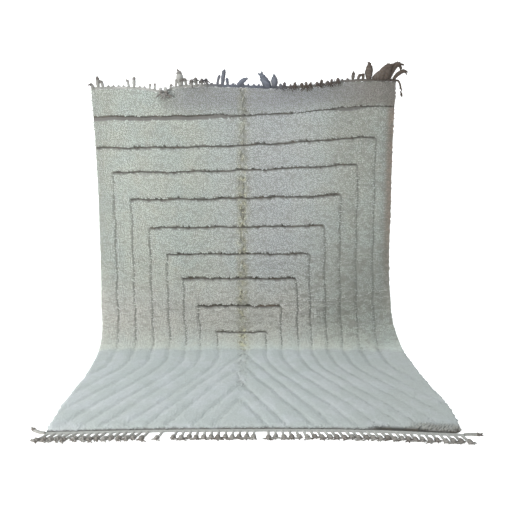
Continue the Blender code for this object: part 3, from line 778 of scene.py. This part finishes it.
def body_finish(look):
    """The dense pile under the locks, darkened as painted shade, and the grooves' dark knotted bed
    with painted shadow.
    """
    finish = Finish("pile_body", 0.97, look.sheen)
    across, down, under, crossing = finish.marks("across", "down", "under", "crossing")
    # Painted shade: the body between the locks is half darkened toward the root shade, less on the
    # floor.
    deep = 0.50 - finish.ramp(down, 2.0, 2.4) * 0.38
    colour = finish.mix(deep, wool_colour(finish, look, across, down), look.root_shade_wool[:])
    patch = finish.ramp(finish.grain(0.10, 3.0), 0.50, 0.62)
    worn = finish.bell(across - 0.17, 0.16) * finish.bell(down - NEST[6][0], 0.05)
    front = finish.ramp(down, RUG_LENGTH - 0.1, RUG_LENGTH - 0.05)
    thin = front * finish.fall(across, 0.66, 0.78)
    # The bed: dark knots and painted shadow, browner in patches and in one stretch, and less dark
    # where the front edge's painted shadow is thin.
    dark = finish.mix(patch, look.bed_knots_and_shade[:], look.brown_bed[:])
    dark = finish.covered(dark, (worn * 0.8, look.worn_bed), (thin * 0.6, look.pale_bed))
    # Painted shadow under the overhanging wool: the upper half of a crossing groove's bed is dark,
    # its lower half paler.
    bed = finish.mix(finish.ramp(under, 0.2, 1.1), look.pale_bed[:], dark)
    bed = finish.mix(crossing, look.leg_bed[:], bed)
    colour = finish.mix(finish.mark("groove"), colour, bed)
    return finish.finished(colour, finish.grain(0.005, 4.0), 0.004)


def back_finish(look):
    """The flat-woven back: rows of knots, each row set half a knot aside from the last."""
    finish = Finish("woven_back", 0.95, look.sheen)
    across, down = finish.marks("across", "down")
    row = down / 0.0085
    ridge = finish.math("ABSOLUTE", finish.math("SINE", row * math.pi))
    knot = (across / 0.0075 + finish.math("FLOOR", row) * 0.5) * math.pi
    weave = ridge * (0.55 + 0.45 * finish.math("ABSOLUTE", finish.math("SINE", knot)))
    colour = wool_colour(finish, look, across, down)
    # Painted shade in the hollows between the rows of knots.
    colour = finish.mix((1.0 - weave) * 0.7, colour, look.bed_knots_and_shade[:])
    return finish.finished(colour, weave + 0.35 * finish.grain(0.0025, 3.0), 0.0022)


def fringe_finish(look):
    """Twisted undyed wool: pale stems, darker knots and tails, with fine strands."""
    finish = Finish("fringe_wool", 0.92, look.sheen * 0.2)
    dark, cool = finish.marks("dark", "cool")
    duller = tuple(channel * 0.78 for channel in look.fringe[:3]) + (1.0,)
    patch = finish.ramp(finish.grain(0.02, 3.0), 0.3, 0.7)
    colour = finish.mix(patch * 0.5, look.fringe[:], duller)
    colour = finish.covered(colour, (dark, look.fringe_dark), (cool * 0.8, look.fringe_cool))
    strand = finish.grain(0.0028, 3.0) + 0.4 * finish.grain(0.0009, 2.0)
    return finish.finished(colour, strand, 0.0016)


# ---------------------------------------------------------------- rug


def rug_grid():
    """Rows and columns of the pile's body: three at each groove, close at the rim."""
    rim, nest = np.array(RIM_STEPS), np.array(NEST)
    beside = np.array([-GROOVE_LIP, 0.0, GROOVE_LIP])
    legs = nest[:, 1:3].ravel()
    legs = legs[np.abs(legs) < 1.2]
    crossings = np.append(TOP_GROOVE_DOWN, nest[:, 0])
    columns = np.concatenate([(legs[:, None] + beside).ravel(), rim - HALF, HALF - rim])
    rows = np.concatenate([(crossings[:, None] + beside).ravel(), rim, RUG_LENGTH - rim])
    return np.meshgrid(stations(columns, GRID_STEP), stations(rows, GRID_STEP))


def fold_mark(across, down):
    """How much of the middle fold's colour shows: a bell just left of it on the hanging part."""
    close = hump(across + 0.008 - middle_line(down), 0.042)
    patches = ramp(mottle(across, down * 0.5, 0.016, 15), 0.25, 0.75)
    length = (0.5 + 0.5 * ramp(down, 0.3, 0.9)) * fall(down, 2.4, 3.0)
    return close * length * (0.3 + 0.7 * patches)


def make_ground(sizes, look):
    """The woven back and the dense body of the pile on it, as one closed sheet.

    The front is the drape plus its outward direction times the body's height, which
    drops to a bed in each groove and rounds off at the rim. The back has every second
    row and column, and shows no fold.
    """
    across, down = rug_grid()
    inside = ramp(edge_room(across, down), 0.0, 0.06)
    right = ramp(across, 0.05, 0.17) * fall(across, 1.10, 1.25)
    shift = WANDER * waves(WANDER_ACROSS, across, down) * inside + right * drift(down)
    sunk = WANDER * waves(WANDER_DOWN, across, down) * inside
    across, down = across + shift, down + sunk
    room, steps = groove_room(across, down)
    here, _, _, outward = directions(across, down)
    full = ramp(room, -0.002, 0.008)
    under = BODY_UNDER_TIPS * (1.0 - 0.65 * ramp(down, 2.1, 2.4))
    tips = tip_height(room, across, down, sizes.pile) - under
    height = GROOVE_BED + (tips - GROOVE_BED) * full
    inward = np.clip(edge_room(across, down) / SHOULDER, 0.0, 1.0)
    height = RIM + (height - RIM) * np.sqrt(1.0 - (1.0 - inward) ** 2)
    front, back = here + outward * height[..., None], here[::2, ::2]
    front_numbers = np.arange(across.size).reshape(across.shape)
    back_numbers = across.size + np.arange(back.size // 3).reshape(back.shape[:2])
    fine, coarse = border(front_numbers), border(back_numbers)
    start, half, end = fine[::2], fine[1::2], np.roll(fine, -2)[::2]
    following = np.roll(coarse, -1)
    threes = (half, start, coarse), (half, coarse, following), (end, half, following)
    rim = np.concatenate([joined(*corners) for corners in threes])
    front_faces, back_faces = grid_faces(front_numbers), grid_faces(back_numbers)[:, ::-1]
    points = np.concatenate([front.reshape(-1, 3), back.reshape(-1, 3)])
    # The front edge's band of bed, which is painted as shadow under the pile's edge.
    edge = ramp(down, RUG_LENGTH - 0.06, RUG_LENGTH - 0.05)
    laid = ramp(down, FLOOR_DOWN - 0.10, FLOOR_DOWN) * (1.0 - edge)
    wide = ramp(read(TOP_GROOVE_GAPS, across), 0.009, 0.014)
    wide = wide * hump(down - TOP_GROOVE_DOWN, 0.06)
    marks = {
        "across": across,
        "down": down,
        "groove": (1.0 - full) * (1.0 - 0.8 * laid),
        "crossing": np.maximum(unit(steps)[..., 1] ** 4, edge),
        # Painted shadow in the upper half of each crossing groove's bed, less in the wide top
        # groove, and along the front edge.
        "under": np.maximum(np.clip(steps[..., 1] / 0.012 + 1.0 - wide, -1.0, 1.0), edge),
        "fold": fold_mark(across, down),
    }
    for name, values in marks.items():
        back_values = values[::2, ::2] * (name != "fold")
        marks[name] = np.concatenate([values.ravel(), back_values.ravel()])
    finishes = [body_finish(look), back_finish(look)]
    ground = make_mesh("rug_ground", points, [front_faces, back_faces, rim], marks, finishes)
    behind = np.arange(len(ground.data.polygons)) >= len(front_faces)
    ground.data.polygons.foreach_set("material_index", behind.astype(np.int32))
    return ground


def lock_places():
    """Where the locks stand: a staggered grid, each one moved a little at random."""
    chance = np.random.default_rng(5)
    rows = np.arange(0.006, RUG_LENGTH - 0.003, LOCK_STEP[1])
    columns = np.arange(0.005 - HALF, HALF - 0.004, LOCK_STEP[0])
    across, down = np.meshgrid(columns, rows)
    across = across + LOCK_STEP[0] * 0.5 * (np.arange(len(rows)) % 2)[:, None]
    across = across + LOCK_STEP[0] * chance.uniform(-LOCK_SHIFT, LOCK_SHIFT, across.shape)
    down = down + LOCK_STEP[1] * chance.uniform(-LOCK_SHIFT, LOCK_SHIFT, down.shape)
    inside = (np.abs(across) < HALF - 0.002) & (down < RUG_LENGTH)
    return across[inside], down[inside]


def lock_leans(across, down, way, room):
    """How far each tip lies across and down from its root.

    It sums a swirl whose direction is smooth noise, the fall of the hanging wool, a lean
    over the nearest groove, a parting at both creases, and a lean outward at the rim.
    """
    chance = np.random.default_rng(6)
    swirl = math.tau * 2.0 * mottle(across, down, 0.075, 3) + chance.normal(0.0, 0.7, across.shape)
    hanging = fall(down, 1.9, 2.3)
    length = LOCK_LEAN * chance.uniform(0.4, 1.3, across.shape) * (0.4 + 0.6 * hanging)
    over = 0.0035 * fall(room, 0.006, 0.020)
    aside, below = across - middle_line(down), crossfold(across, down)
    lean_across = length * np.cos(swirl) + over * way[:, 0]
    lean_across += 0.005 * hump(aside, 0.022) * fall(down, 2.8, 3.0) * np.sign(aside)
    sides = fall(HALF - np.abs(across), 0.0, 0.022)
    lean_across += 0.007 * sides * np.sign(across) * (0.4 + 0.6 * hanging)
    lean_down = length * np.sin(swirl) + 0.0035 * hanging + over * way[:, 1]
    lean_down += 0.006 * hump(below, 0.015) * np.sign(below) * ramp(across, 0.1, 0.5)
    lean_down += 0.004 * fall(RUG_LENGTH - down, 0.0, 0.022) - 0.005 * fall(down, 0.0, 0.022)
    return lean_across, lean_down


def lock_tones(across, down, room, chances, pit, lip):
    """How dull each lock is, and how pale, from 0 to 1.

    Dull locks stand at random, and as painted shade in pits and cracks between clumps, in the
    crumpled middle fold, along the floor's groove lines, under the fold crease and at the lip;
    dull patches also lie at the right. Pale locks are a painted highlight on the crests of the
    fold crease and the wrinkles.
    """
    laid = ramp(down, 2.1, 2.5)
    below, right = crossfold(across, down), ramp(across, 0.2, 0.6)
    # The floor's groove lines, which take painted shade.
    line = laid * fall(room, 0.004, 0.011) * mottle(across, down, 0.11, 18)
    # Painted shade in cracks between clumps, more at the right and on the lower hanging cloth.
    cracks = ramp(mottle(across * 0.4, down, 0.018, 19), 0.62, 0.90)
    cracks = cracks * (0.4 + 0.6 * right) * hump(down - 1.75, 0.45)
    worn = ramp(mottle(across * 0.7, down, 0.017, 22), 0.50, 0.90) * ramp(across, 0.6, 0.9)
    # Random dullness and painted shade in the pits, kept off the fold crease's crest at the right.
    tone = (0.20 * chances + 0.65 * pit) * (1.0 - hump(below + 0.003, 0.008) * right)
    # Painted shade in the crumpled middle fold, along the floor's groove lines and in a band under
    # the fold crease at the right.
    tone += 0.6 * crumple(across, down) + 0.45 * line + 0.8 * hump(below - 0.016, 0.009) * right
    tone = np.clip(tone + cracks + 0.65 * worn * (1.0 - laid), 0.0, 1.0)
    # Painted shade at the front lip.
    tone = np.maximum(tone, lip * mottle(across, down, 0.022, 17) ** 0.5)
    # Painted highlight on the wrinkles' crests and along the fold crease at the right.
    crest_highlight = np.clip(wrinkled(across, down) / 0.005, 0.0, 1.0) ** 2
    pale = np.maximum(0.6 * hump(below + 0.003, 0.007) * right, crest_highlight)
    return tone, pale * (0.3 + 0.7 * mottle(across, down, 0.03, 23))


def make_pile(sizes, look):
    """The pile's locks in four pieces: each a ring at its root, a fuller ring and a tip."""
    across, down = lock_places()
    room, steps = groove_room(across, down)
    standing = room > 0.0062 - 0.0040 * ramp(down, 2.1, 2.5)
    across, down, room, way = [part[standing] for part in (across, down, room, unit(steps))]
    laid = ramp(down, 2.1, 2.5)
    chance = np.random.default_rng(8)
    here, sideways, downward, outward = directions(across, down)
    lean_across, lean_down = lock_leans(across, down, way, room)
    lean = sideways * lean_across[:, None] + downward * lean_down[:, None]
    pit = pits(across, down)
    tips = tip_height(room, across, down, sizes.pile) - 0.005 * pit
    tips += chance.normal(0.0, 1.0, across.shape) * (0.0012 - 0.0005 * laid)
    tips -= 0.006 * fall(edge_room(across, down), 0.0, 0.020)
    lip = ramp(across, *FRONT_LIP) * fall(RUG_LENGTH - down, 0.03, 0.12)
    tips += 0.010 * lip * (0.4 + mottle(across, down, 0.03, 16))
    radius = chance.uniform(0.85, 1.15, across.shape)
    turned = chance.uniform(0.0, math.tau, across.shape)
    angle = turned[:, None] + np.arange(LOCK_SIDES) * math.tau / LOCK_SIDES
    high = LOCK_RADII[1] * np.cross(outward, sideways)[:, None]
    ring = circled(angle, LOCK_RADII[0] * sideways[:, None], high)
    parts = []
    for share, girth, bent in LOCK_RINGS:
        height = LOCK_ROOT + (tips - LOCK_ROOT) * share
        middle = here + outward * height[:, None] + lean * bent
        parts.append(middle[:, None] + ring * (radius * girth)[:, None, None])
    tip = here + outward * tips[:, None] + lean
    points = np.concatenate(parts + [tip[:, None]], axis=1)
    size = points.shape[1]
    tone, pale = lock_tones(across, down, room, chance.random(len(points)), pit, lip)
    values = {
        "across": across,
        "down": down,
        "tone": tone,
        "fold": fold_mark(across, down),
        "pale": pale,
    }
    share = np.array([0.0] * LOCK_SIDES + [0.6] * LOCK_SIDES + [1.0])
    low = np.arange(LOCK_SIDES)
    following = (low + 1) % LOCK_SIDES
    quads = joined(low, following, following + LOCK_SIDES, low + LOCK_SIDES)
    quads = np.concatenate([quads, low[None, ::-1]])
    threes = joined(low + LOCK_SIDES, following + LOCK_SIDES, size - 1)
    finish = pile_finish(look)
    pieces = []
    for name, start, end in PILE_PIECES:
        chosen = (down >= start) & (down < end)
        count = int(chosen.sum())
        first = (np.arange(count) * size)[:, None, None]
        marks = {mark: np.repeat(value[chosen], size) for mark, value in values.items()}
        marks["tip"] = np.tile(share, count)
        faces = [(quads + first).reshape(-1, 4), (threes + first).reshape(-1, 3)]
        pieces.append(make_mesh(name, points[chosen].reshape(-1, 3), faces, marks, [finish]))
    return pieces


# ---------------------------------------------------------------- fringes


def stems(root, knee, end, share):
    """Points along each tassel at shares of its length, on the curve root, knee, end."""
    t = share[None, :, None]
    return root[:, None] * (1 - t) ** 2 + knee[:, None] * 2 * t * (1 - t) + end[:, None] * t**2


def about(path, axis):
    """Directions at a path: along it, near the given axis but square to it, and the third."""
    heading = unit(np.gradient(path, axis=1))
    aside = unit(axis[:, None] - heading * (heading * axis[:, None]).sum(-1, keepdims=True))
    return heading, aside, np.cross(aside, heading)


def wound(stem, axis, angle, reach):
    """Paths wound round stems: each point steps a reach aside, at an angle."""
    _, aside, lift = about(stem, axis)
    return stem + circled(angle, aside, lift) * reach[..., None]


def tassels(heap, make, curve, axis, thickness, dark, cool):
    """Knotted tassels: plies twisted round each other, two turns of knot, and tails.

    A ply is the tassel's curve, given by its root, knee and end, plus a turning step
    aside, wider at mid-length in a thick tassel. The knot is a short coil round the same
    curve. Each tail leaves the knot at its own angle, and droops or lies flat.
    """
    plies, ply_radius, ply_step, coil_step, knot_radius, tails, *tail_sizes = make
    tail_radius, tail_length, tail_spray = tail_sizes
    count = len(curve[0])
    chance = np.random.default_rng(20 + count)
    length = np.linalg.norm(curve[2] - curve[0], axis=1)
    girth = (thickness * np.clip(length / FRONT_TASSEL_LENGTH, 0.75, 1.0))[:, None]
    share = np.linspace(0.0, KNOT_START + 0.06, 12)
    stem = stems(*curve, share)
    phase = chance.uniform(0.0, math.tau, count)[:, None]
    turns = chance.uniform(1.6, 2.6, count)[:, None]
    swell = 1.0 + 1.1 * np.clip(thickness - 1.0, 0.0, 1.0)[:, None] * np.sin(share * 4.2)
    for ply in range(plies):
        angle = phase + math.tau * (turns * share / share[-1] + ply / plies)
        path = wound(stem, axis, angle, ply_step * girth * swell)
        tone = np.clip(dark + 0.10 * (ply % 2), 0.0, 1.0)
        heap.tubes(path, ply_radius * girth * np.sqrt(swell), 5, tone, cool)
    knot = stems(*curve, np.linspace(KNOT_START, KNOT_END, 17))
    angle = phase + math.tau * KNOT_TURNS * np.linspace(0.0, 1.0, 17)
    coil = np.sin(np.linspace(0.25, 0.85, 17) * math.pi) * coil_step
    radii = np.tile(knot_radius * girth, 17)
    path = wound(knot, axis, angle, girth * coil)
    heap.tubes(path, radii, 5, np.clip(dark + 0.50, 0.0, 1.0), cool)
    away, aside, lift = [way[:, -1] for way in about(knot[:, -3:], axis)]
    along = np.linspace(0.0, 1.0, 6)
    for _ in range(tails):
        spray = chance.uniform(-1.0, 1.0, (count, 1)) * tail_spray
        rise = chance.uniform(-0.4, 0.6, (count, 1))
        curl = chance.uniform(-0.6, 0.6, (count, 1)) * min(1.0, 0.2 + tail_spray)
        reach = tail_length * girth * chance.uniform(0.6, 1.1, (count, 1))
        heading = unit(away * 0.6 + aside * spray + lift * rise)
        start = knot[:, -5] + aside * 0.006 * spray
        bent = along[:, None] * heading[:, None] + (along**2)[:, None] * (aside * curl)[:, None]
        path = start[:, None] + reach[..., None] * bent
        if heap.floor is None:
            path[..., 2] -= 0.012 * along**2
        tone = np.clip(dark + chance.uniform(0.2, 0.8, count), 0.0, 1.0)
        heap.tubes(path, tail_radius * girth * (1.0 - 0.6 * along**2), 4, tone, cool)


def wisps(heap, starts, headings, lengths, dark, cool, seed):
    """Thin loose yarn ends: each goes its own way and curls as it goes."""
    chance = np.random.default_rng(seed)
    along = np.linspace(0.0, 1.0, 6)[None, :, None]
    curl = chance.normal(0.0, 0.5, (len(starts), 3))[:, None]
    path = starts[:, None] + lengths[:, None, None] * (along * headings[:, None] + curl * along**2)
    heap.tubes(path, np.tile(np.linspace(0.0022, 0.0007, 6), (len(starts), 1)), 4, dark, cool)


def place_across(number):
    """Where a tassel stands across the rug, counted from the left."""
    return -HALF + (number + 0.5) * TASSEL_PITCH


def top_tones(places):
    """How dark and how blue the top fringe is at places across the rug."""
    return read(TOP_TONES, places, 1), read(TOP_TONES, places, 2)


def make_front_fringe(look):
    """The flat-woven band on the floor, its knotted tassels and two loose strands."""
    heap = Heap(FLOOR)
    stops = np.linspace(-HALF, HALF, BAND_STOPS)
    edge = drape(stops, RUG_LENGTH) - (0.0, GAP, 0.0)
    depth = np.array([0.0, -FRONT_BAND_DEPTH, 0.0])
    pale = np.full(len(stops), 0.12)
    heap.band(edge, depth, (0.0, 0.0, BAND_THICKNESS), pale, pale * 0.0)
    numbers = np.array([n for n in range(TASSELS) if n not in MISSING_FRONT_TASSELS])
    places = place_across(numbers)
    root = drape(places, RUG_LENGTH) + depth * 0.94
    root[:, 2] = FLOOR + 0.0045
    lean = read(LEANS, places) + 0.003 * np.sin(numbers * 2.3)
    lean = lean - np.interp(numbers, (1, 4, 5), (0.0, 0.040, 0.0))
    length = FRONT_TASSEL_LENGTH * (1.0 + 0.07 * np.sin(numbers * 3.7))
    knee, end = joined(lean * 0.3, -length * 0.5, 0.004), joined(lean, -length, 0.003)
    axis = np.array([[1.0, 0.0, 0.0]])
    zero, one = np.zeros(len(places)), np.ones(1)
    dark = 0.14 + 0.10 * np.sin(numbers * 1.9)
    tassels(heap, FRONT_MAKE, (root, root + knee, root + end), axis, zero + 1.15, dark, zero)
    for side, knee_side, knee_out, end_side, end_out in FRONT_LOOSE:
        root = drape(np.array([side * HALF]), RUG_LENGTH) + depth * 0.5
        root[:, 2] = FLOOR + 0.005
        curve = root, root + (knee_side, -knee_out, 0.0), root + (end_side, -end_out, 0.0)
        axis = np.array([[0.0, 1.0, 0.0]])
        tassels(heap, TOP_MAKE, curve, axis, one * 1.2, one * 0.3, one * 0.0)
    return heap.build("front_fringe", fringe_finish(look))


def make_top_fringe(look):
    """The band along the top edge: tassels that stand, fall forward or hang behind."""
    heap = Heap()
    stops = np.linspace(-HALF, HALF, BAND_STOPS)
    edge = drape(stops, 0.0) + (0.0, -BAND_THICKNESS, GAP)
    edge[:, 2] += 0.002 * np.sin(stops * 90.0) * np.sin(stops * 37.0)
    up = np.array([0.0, 0.0, TOP_BAND_HEIGHT])
    dark, cool = top_tones(stops)
    heap.band(edge, up, (0.0, BAND_THICKNESS, 0.0), dark * 0.8, cool, -1)
    shaped = {row[0]: row[1:] for row in TOP_TASSELS}
    behind = [(0.004 * math.sin(n * 2.9), -0.018, -0.085, 0.030, 1.0) for n in range(TASSELS)]
    rows = [shaped.get(n, behind[n]) for n in range(TASSELS)]
    side, forward, rise, arch, thickness = np.array(rows).T
    places = place_across(np.arange(TASSELS))
    root = drape(places, 0.0) + (0.0, -BAND_THICKNESS / 2.0, TOP_BAND_HEIGHT)
    end = root + joined(side, -forward, rise)
    knee = root + joined(side * 0.4, -forward * 0.8, arch)
    axis = joined(np.where(forward > 0.0, -1.0, 1.0), 0.0, 0.0)
    axis[np.abs(side) > 0.03] = (0.0, 1.0, 0.0)
    every = (root, knee, end), axis, thickness * 1.15, *top_tones(places)
    for make, chosen in ((TOP_MAKE, forward < TUFT_FORWARD), (TUFT_MAKE, forward >= TUFT_FORWARD)):
        curve = [part[chosen] for part in every[0]]
        tassels(heap, make, curve, *[part[chosen] for part in every[1:]])
    root = drape(np.array([HALF]), 0.0) + up / 2.0
    knee, end = [root + (s, -f, u) for s, f, u in TOP_RIGHT_LOOSE]
    one = np.ones(1)
    tassels(heap, TOP_MAKE, (root, knee, end), np.array([[0.0, 1.0, 0.0]]), one, one, 0.0 * one)
    chance = np.random.default_rng(31)
    spots = chance.uniform(-HALF, HALF, 340)
    spots = np.concatenate([spots, chance.uniform(0.10, 0.85, 260)])
    starts = drape(spots, 0.0) + up * chance.uniform(0.3, 1.0, (len(spots), 1))
    starts = starts - (0.0, BAND_THICKNESS / 2.0, 0.0)
    headings = unit(chance.normal((0.0, -0.5, 0.5), 0.6, (len(spots), 3)))
    lengths = chance.uniform(0.012, 0.030, len(spots))
    wisps(heap, starts, headings, lengths, *top_tones(spots), 32)
    return heap.build("top_fringe", fringe_finish(look))


# ---------------------------------------------------------------- stage


def link(name, data):
    """An object in the scene that holds some data."""
    thing = bpy.data.objects.new(name, data)
    bpy.context.scene.collection.objects.link(thing)
    return thing


def make_camera():
    """The camera at the photograph's viewing angle."""
    lens = bpy.data.cameras.new("view")
    lens.lens = CAMERA_LENS
    lens.sensor_width = 36.0
    camera = link("view", lens)
    camera.location = CAMERA_PLACE
    camera.rotation_euler = (math.pi / 2.0 - CAMERA_PITCH, 0.0, 0.0)
    bpy.context.scene.camera = camera


def make_light(name, place, target, size, power, colour):
    """A square soft light that looks from its place at a target."""
    light = bpy.data.lights.new(name, "AREA")
    light.size = size
    light.energy = power
    light.color = colour
    thing = link(name, light)
    thing.location = place
    toward = bpy.context.scene.camera.location.copy()
    toward[:] = [t - p for t, p in zip(target, place)]
    thing.rotation_euler = toward.to_track_quat("-Z", "Y").to_euler()


def make_backdrop(stage):
    """The pale floor: flat under the rug, then swept up in a quarter circle far behind."""
    radius, back, front, half, top = 2.5, 4.0, -9.0, 14.0, 9.0
    turn = np.linspace(0.0, math.pi / 2.0, 24)
    y = np.concatenate([[front], back + radius * np.sin(turn), [back + radius]])
    z = np.concatenate([[0.0], radius * (1.0 - np.cos(turn)), [top]]) + FLOOR
    points = joined(np.repeat((-half, half), len(y)), np.tile(y, 2), np.tile(z, 2))
    numbers = np.arange(len(points)).reshape(2, -1)
    finish = Finish("pale_floor", 0.9, 0.0)
    finish.shader.inputs["Base Color"].default_value = stage.floor[:]
    finish.shader.inputs["Emission Color"].default_value = (1.0, 1.0, 1.0, 1.0)
    finish.shader.inputs["Emission Strength"].default_value = stage.glow
    mesh = bpy.data.meshes.new("backdrop")
    mesh.from_pydata(points.tolist(), [], grid_faces(numbers)[:, ::-1].tolist())
    mesh.polygons.foreach_set("use_smooth", np.ones(len(mesh.polygons), dtype=bool))
    mesh.materials.append(finish.material)
    backdrop = link("backdrop", mesh)


# ---------------------------------------------------------------- add-on


def colour_property(name, description, *default):
    """A colour that a user can change."""
    return bpy.props.FloatVectorProperty(
        name=name, description=description, default=(*default, 1.0), size=4, subtype="COLOR"
    )


class RugSizes(bpy.types.PropertyGroup):
    """Sizes of the rug."""

    pile: bpy.props.FloatProperty(
        name="Pile height",
        description="How high the wool stands over the woven back",
        default=0.026,
        unit="LENGTH",
    )


class RugLook(bpy.types.PropertyGroup):
    """Colours of the wool, with those of its painted shade and highlight."""

    wool: colour_property("Wool", "Main colour of the pile", 0.47, 0.50, 0.455)
    cool_wool: colour_property("Cool wool", "Cooler patches", 0.455, 0.50, 0.47)
    warm_wool: colour_property("Warm wool", "Warmer patches", 0.46, 0.45, 0.385)
    side_wool: colour_property("Side wool", "The right side", 0.33, 0.25, 0.20)
    top_wool: colour_property("Top wool", "The strip at the top", 0.30, 0.305, 0.32)
    # The top right's brown; also painted shade down the right of the hanging cloth and on the
    # front right lip.
    corner_and_shade_wool: colour_property("Corner wool", "The top right", 0.24, 0.215, 0.19)
    # Painted shade.
    low_right_shade: colour_property("Low wool", "The shaded lower right", 0.31, 0.325, 0.30)
    # Dull locks at random, a darker left side, and painted shade in the pile's gaps, creases and
    # grooves, at the front lip and toward the floor's right.
    dull_and_shade_wool: colour_property("Dull wool", "The duller locks", 0.20, 0.20, 0.175)
    crease_wool: colour_property("Crease wool", "The middle crease", 0.50, 0.485, 0.32)
    floor_wool: colour_property("Laid wool", "The part on the floor", 0.38, 0.41, 0.405)
    lilac_wool: colour_property("Lilac wool", "The middle, and floor patches", 0.465, 0.48, 0.505)
    # Painted highlight.
    highlight_wool: colour_property("Pale wool", "The wrinkles' crests", 0.72, 0.73, 0.71)
    rosy_wool: colour_property("Rosy wool", "The lower middle", 0.62, 0.585, 0.55)
    # Painted shade: the colour of the locks' roots, of the pile body between them and of spots in
    # the middle fold.
    root_shade_wool: colour_property("Root wool", "Wool deep in the pile", 0.12, 0.115, 0.095)
    # Dark knots and painted shade: the upper half of the crossing grooves' beds, the front edge,
    # and the hollows of the woven back.
    bed_knots_and_shade: colour_property("Groove bed", "Knots in the grooves", 0.040, 0.038, 0.032)
    brown_bed: colour_property("Brown bed", "Browner stretches", 0.060, 0.050, 0.038)
    worn_bed: colour_property("Worn bed", "The brownest stretch", 0.105, 0.068, 0.045)
    pale_bed: colour_property("Pale bed", "The lower half of a bed", 0.135, 0.130, 0.122)
    leg_bed: colour_property("Leg bed", "The upright grooves", 0.15, 0.155, 0.14)
    fringe: colour_property("Fringe", "Stems and bands", 0.40, 0.40, 0.375)
    fringe_dark: colour_property("Dark fringe", "Knots and tails", 0.080, 0.063, 0.052)
    fringe_cool: colour_property("Cool fringe", "The top's shaded part", 0.115, 0.122, 0.145)
    sheen: bpy.props.FloatProperty(
        name="Sheen", description="The soft shine of wool", default=0.10, subtype="FACTOR"
    )
    root_shade: bpy.props.FloatProperty(
        name="Root shade", description="How dark the roots are", default=0.65, subtype="FACTOR"
    )


class RugStage(bpy.types.PropertyGroup):
    """The floor and the lights."""

    floor: colour_property("Floor", "The pale floor", 0.90, 0.90, 0.90)
    glow: bpy.props.FloatProperty(
        name="Floor glow", description="The floor's own light", default=0.55
    )
    overhead: bpy.props.FloatProperty(
        name="Overhead light", description="Power of the light above", default=1000.0, unit="POWER"
    )
    key: bpy.props.FloatProperty(
        name="Key light", description="Power of the light at the left", default=285.0, unit="POWER"
    )
    air: bpy.props.FloatProperty(
        name="Air light", description="Brightness all around", default=0.36
    )


class RUG_OT_stage(bpy.types.Operator):
    """Makes the camera, the soft lights and the pale floor"""

    bl_idname = "rug.stage"
    bl_label = "Stage"

    def execute(self, context):
        stage = context.scene.rug_stage
        make_camera()
        above, middle, cool = (-1.5, -3.5, 7.5), (0.0, -0.8, -2.2), (0.90, 0.96, 1.0)
        make_light("overhead", above, middle, 5.0, stage.overhead, cool)
        beside, low, warm = (-3.8, -4.5, -1.2), (-0.1, 0.0, -1.5), (1.0, 0.99, 0.965)
        make_light("key", beside, low, 2.6, stage.key, warm)
        make_backdrop(stage)
        world = bpy.data.worlds.new("air")
        world.use_nodes = True
        air = world.node_tree.nodes["Background"]
        air.inputs["Color"].default_value = (1.0, 1.0, 1.0, 1.0)
        air.inputs["Strength"].default_value = stage.air
        context.scene.world = world
        context.scene.view_settings.view_transform = "Standard"
        return {"FINISHED"}


class RUG_OT_front_fringe(bpy.types.Operator):
    """Makes the band and the tassels on the floor"""

    bl_idname = "rug.front_fringe"
    bl_label = "Front fringe"

    def execute(self, context):
        fringe = make_front_fringe(context.scene.rug_look)
        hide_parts("fringe_front")
        return {"FINISHED"}


class RUG_OT_top_fringe(bpy.types.Operator):
    """Makes the band and the tassels at the top edge"""

    bl_idname = "rug.top_fringe"
    bl_label = "Top fringe"

    def execute(self, context):
        fringe = make_top_fringe(context.scene.rug_look)
        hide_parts("fringe_top")
        return {"FINISHED"}


class RUG_OT_pile(bpy.types.Operator):
    """Makes the locks of pile, in four pieces"""

    bl_idname = "rug.pile"
    bl_label = "Pile"

    def execute(self, context):
        for piece in make_pile(context.scene.rug_sizes, context.scene.rug_look):
            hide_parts("rug")
        return {"FINISHED"}


class RUG_OT_ground(bpy.types.Operator):
    bl_idname = "rug.ground"
    bl_label = "Ground"

    def execute(self, context):
        ground = make_ground(context.scene.rug_sizes, context.scene.rug_look)
        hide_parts("rug")
        return {"FINISHED"}


class RUG_PT_panel(bpy.types.Panel):
    """Lists the rug's pieces, sizes and colours"""

    bl_idname = "RUG_PT_panel"
    bl_label = "Rug"
    bl_space_type = "VIEW_3D"
    bl_region_type = "UI"
    bl_category = "Rug"

    def draw(self, context):
        scene = context.scene
        for operator in OPERATORS:
            self.layout.operator(operator.bl_idname)
        for group in (scene.rug_sizes, scene.rug_look, scene.rug_stage):
            for name in group.__annotations__:
                self.layout.prop(group, name)


GROUPS = (RugSizes, RugLook, RugStage)
OPERATORS = (RUG_OT_stage, RUG_OT_front_fringe, RUG_OT_top_fringe, RUG_OT_pile, RUG_OT_ground)


def register():
    """Registers the add-on's classes and its settings on the scene."""
    for kind in GROUPS + OPERATORS + (RUG_PT_panel,):
        bpy.utils.register_class(kind)
    bpy.types.Scene.rug_sizes = bpy.props.PointerProperty(type=RugSizes)
    bpy.types.Scene.rug_look = bpy.props.PointerProperty(type=RugLook)
    bpy.types.Scene.rug_stage = bpy.props.PointerProperty(type=RugStage)


def unregister():
    """Takes the settings and classes away again."""
    del bpy.types.Scene.rug_stage
    del bpy.types.Scene.rug_look
    del bpy.types.Scene.rug_sizes
    for kind in reversed(GROUPS + OPERATORS + (RUG_PT_panel,)):
        bpy.utils.unregister_class(kind)


def main():
    """Registers the add-on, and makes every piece."""
    register()
    bpy.ops.rug.stage()
    bpy.ops.rug.front_fringe()
    bpy.ops.rug.top_fringe()
    bpy.ops.rug.pile()
    bpy.ops.rug.ground()


if __name__ == "__main__":
    main()
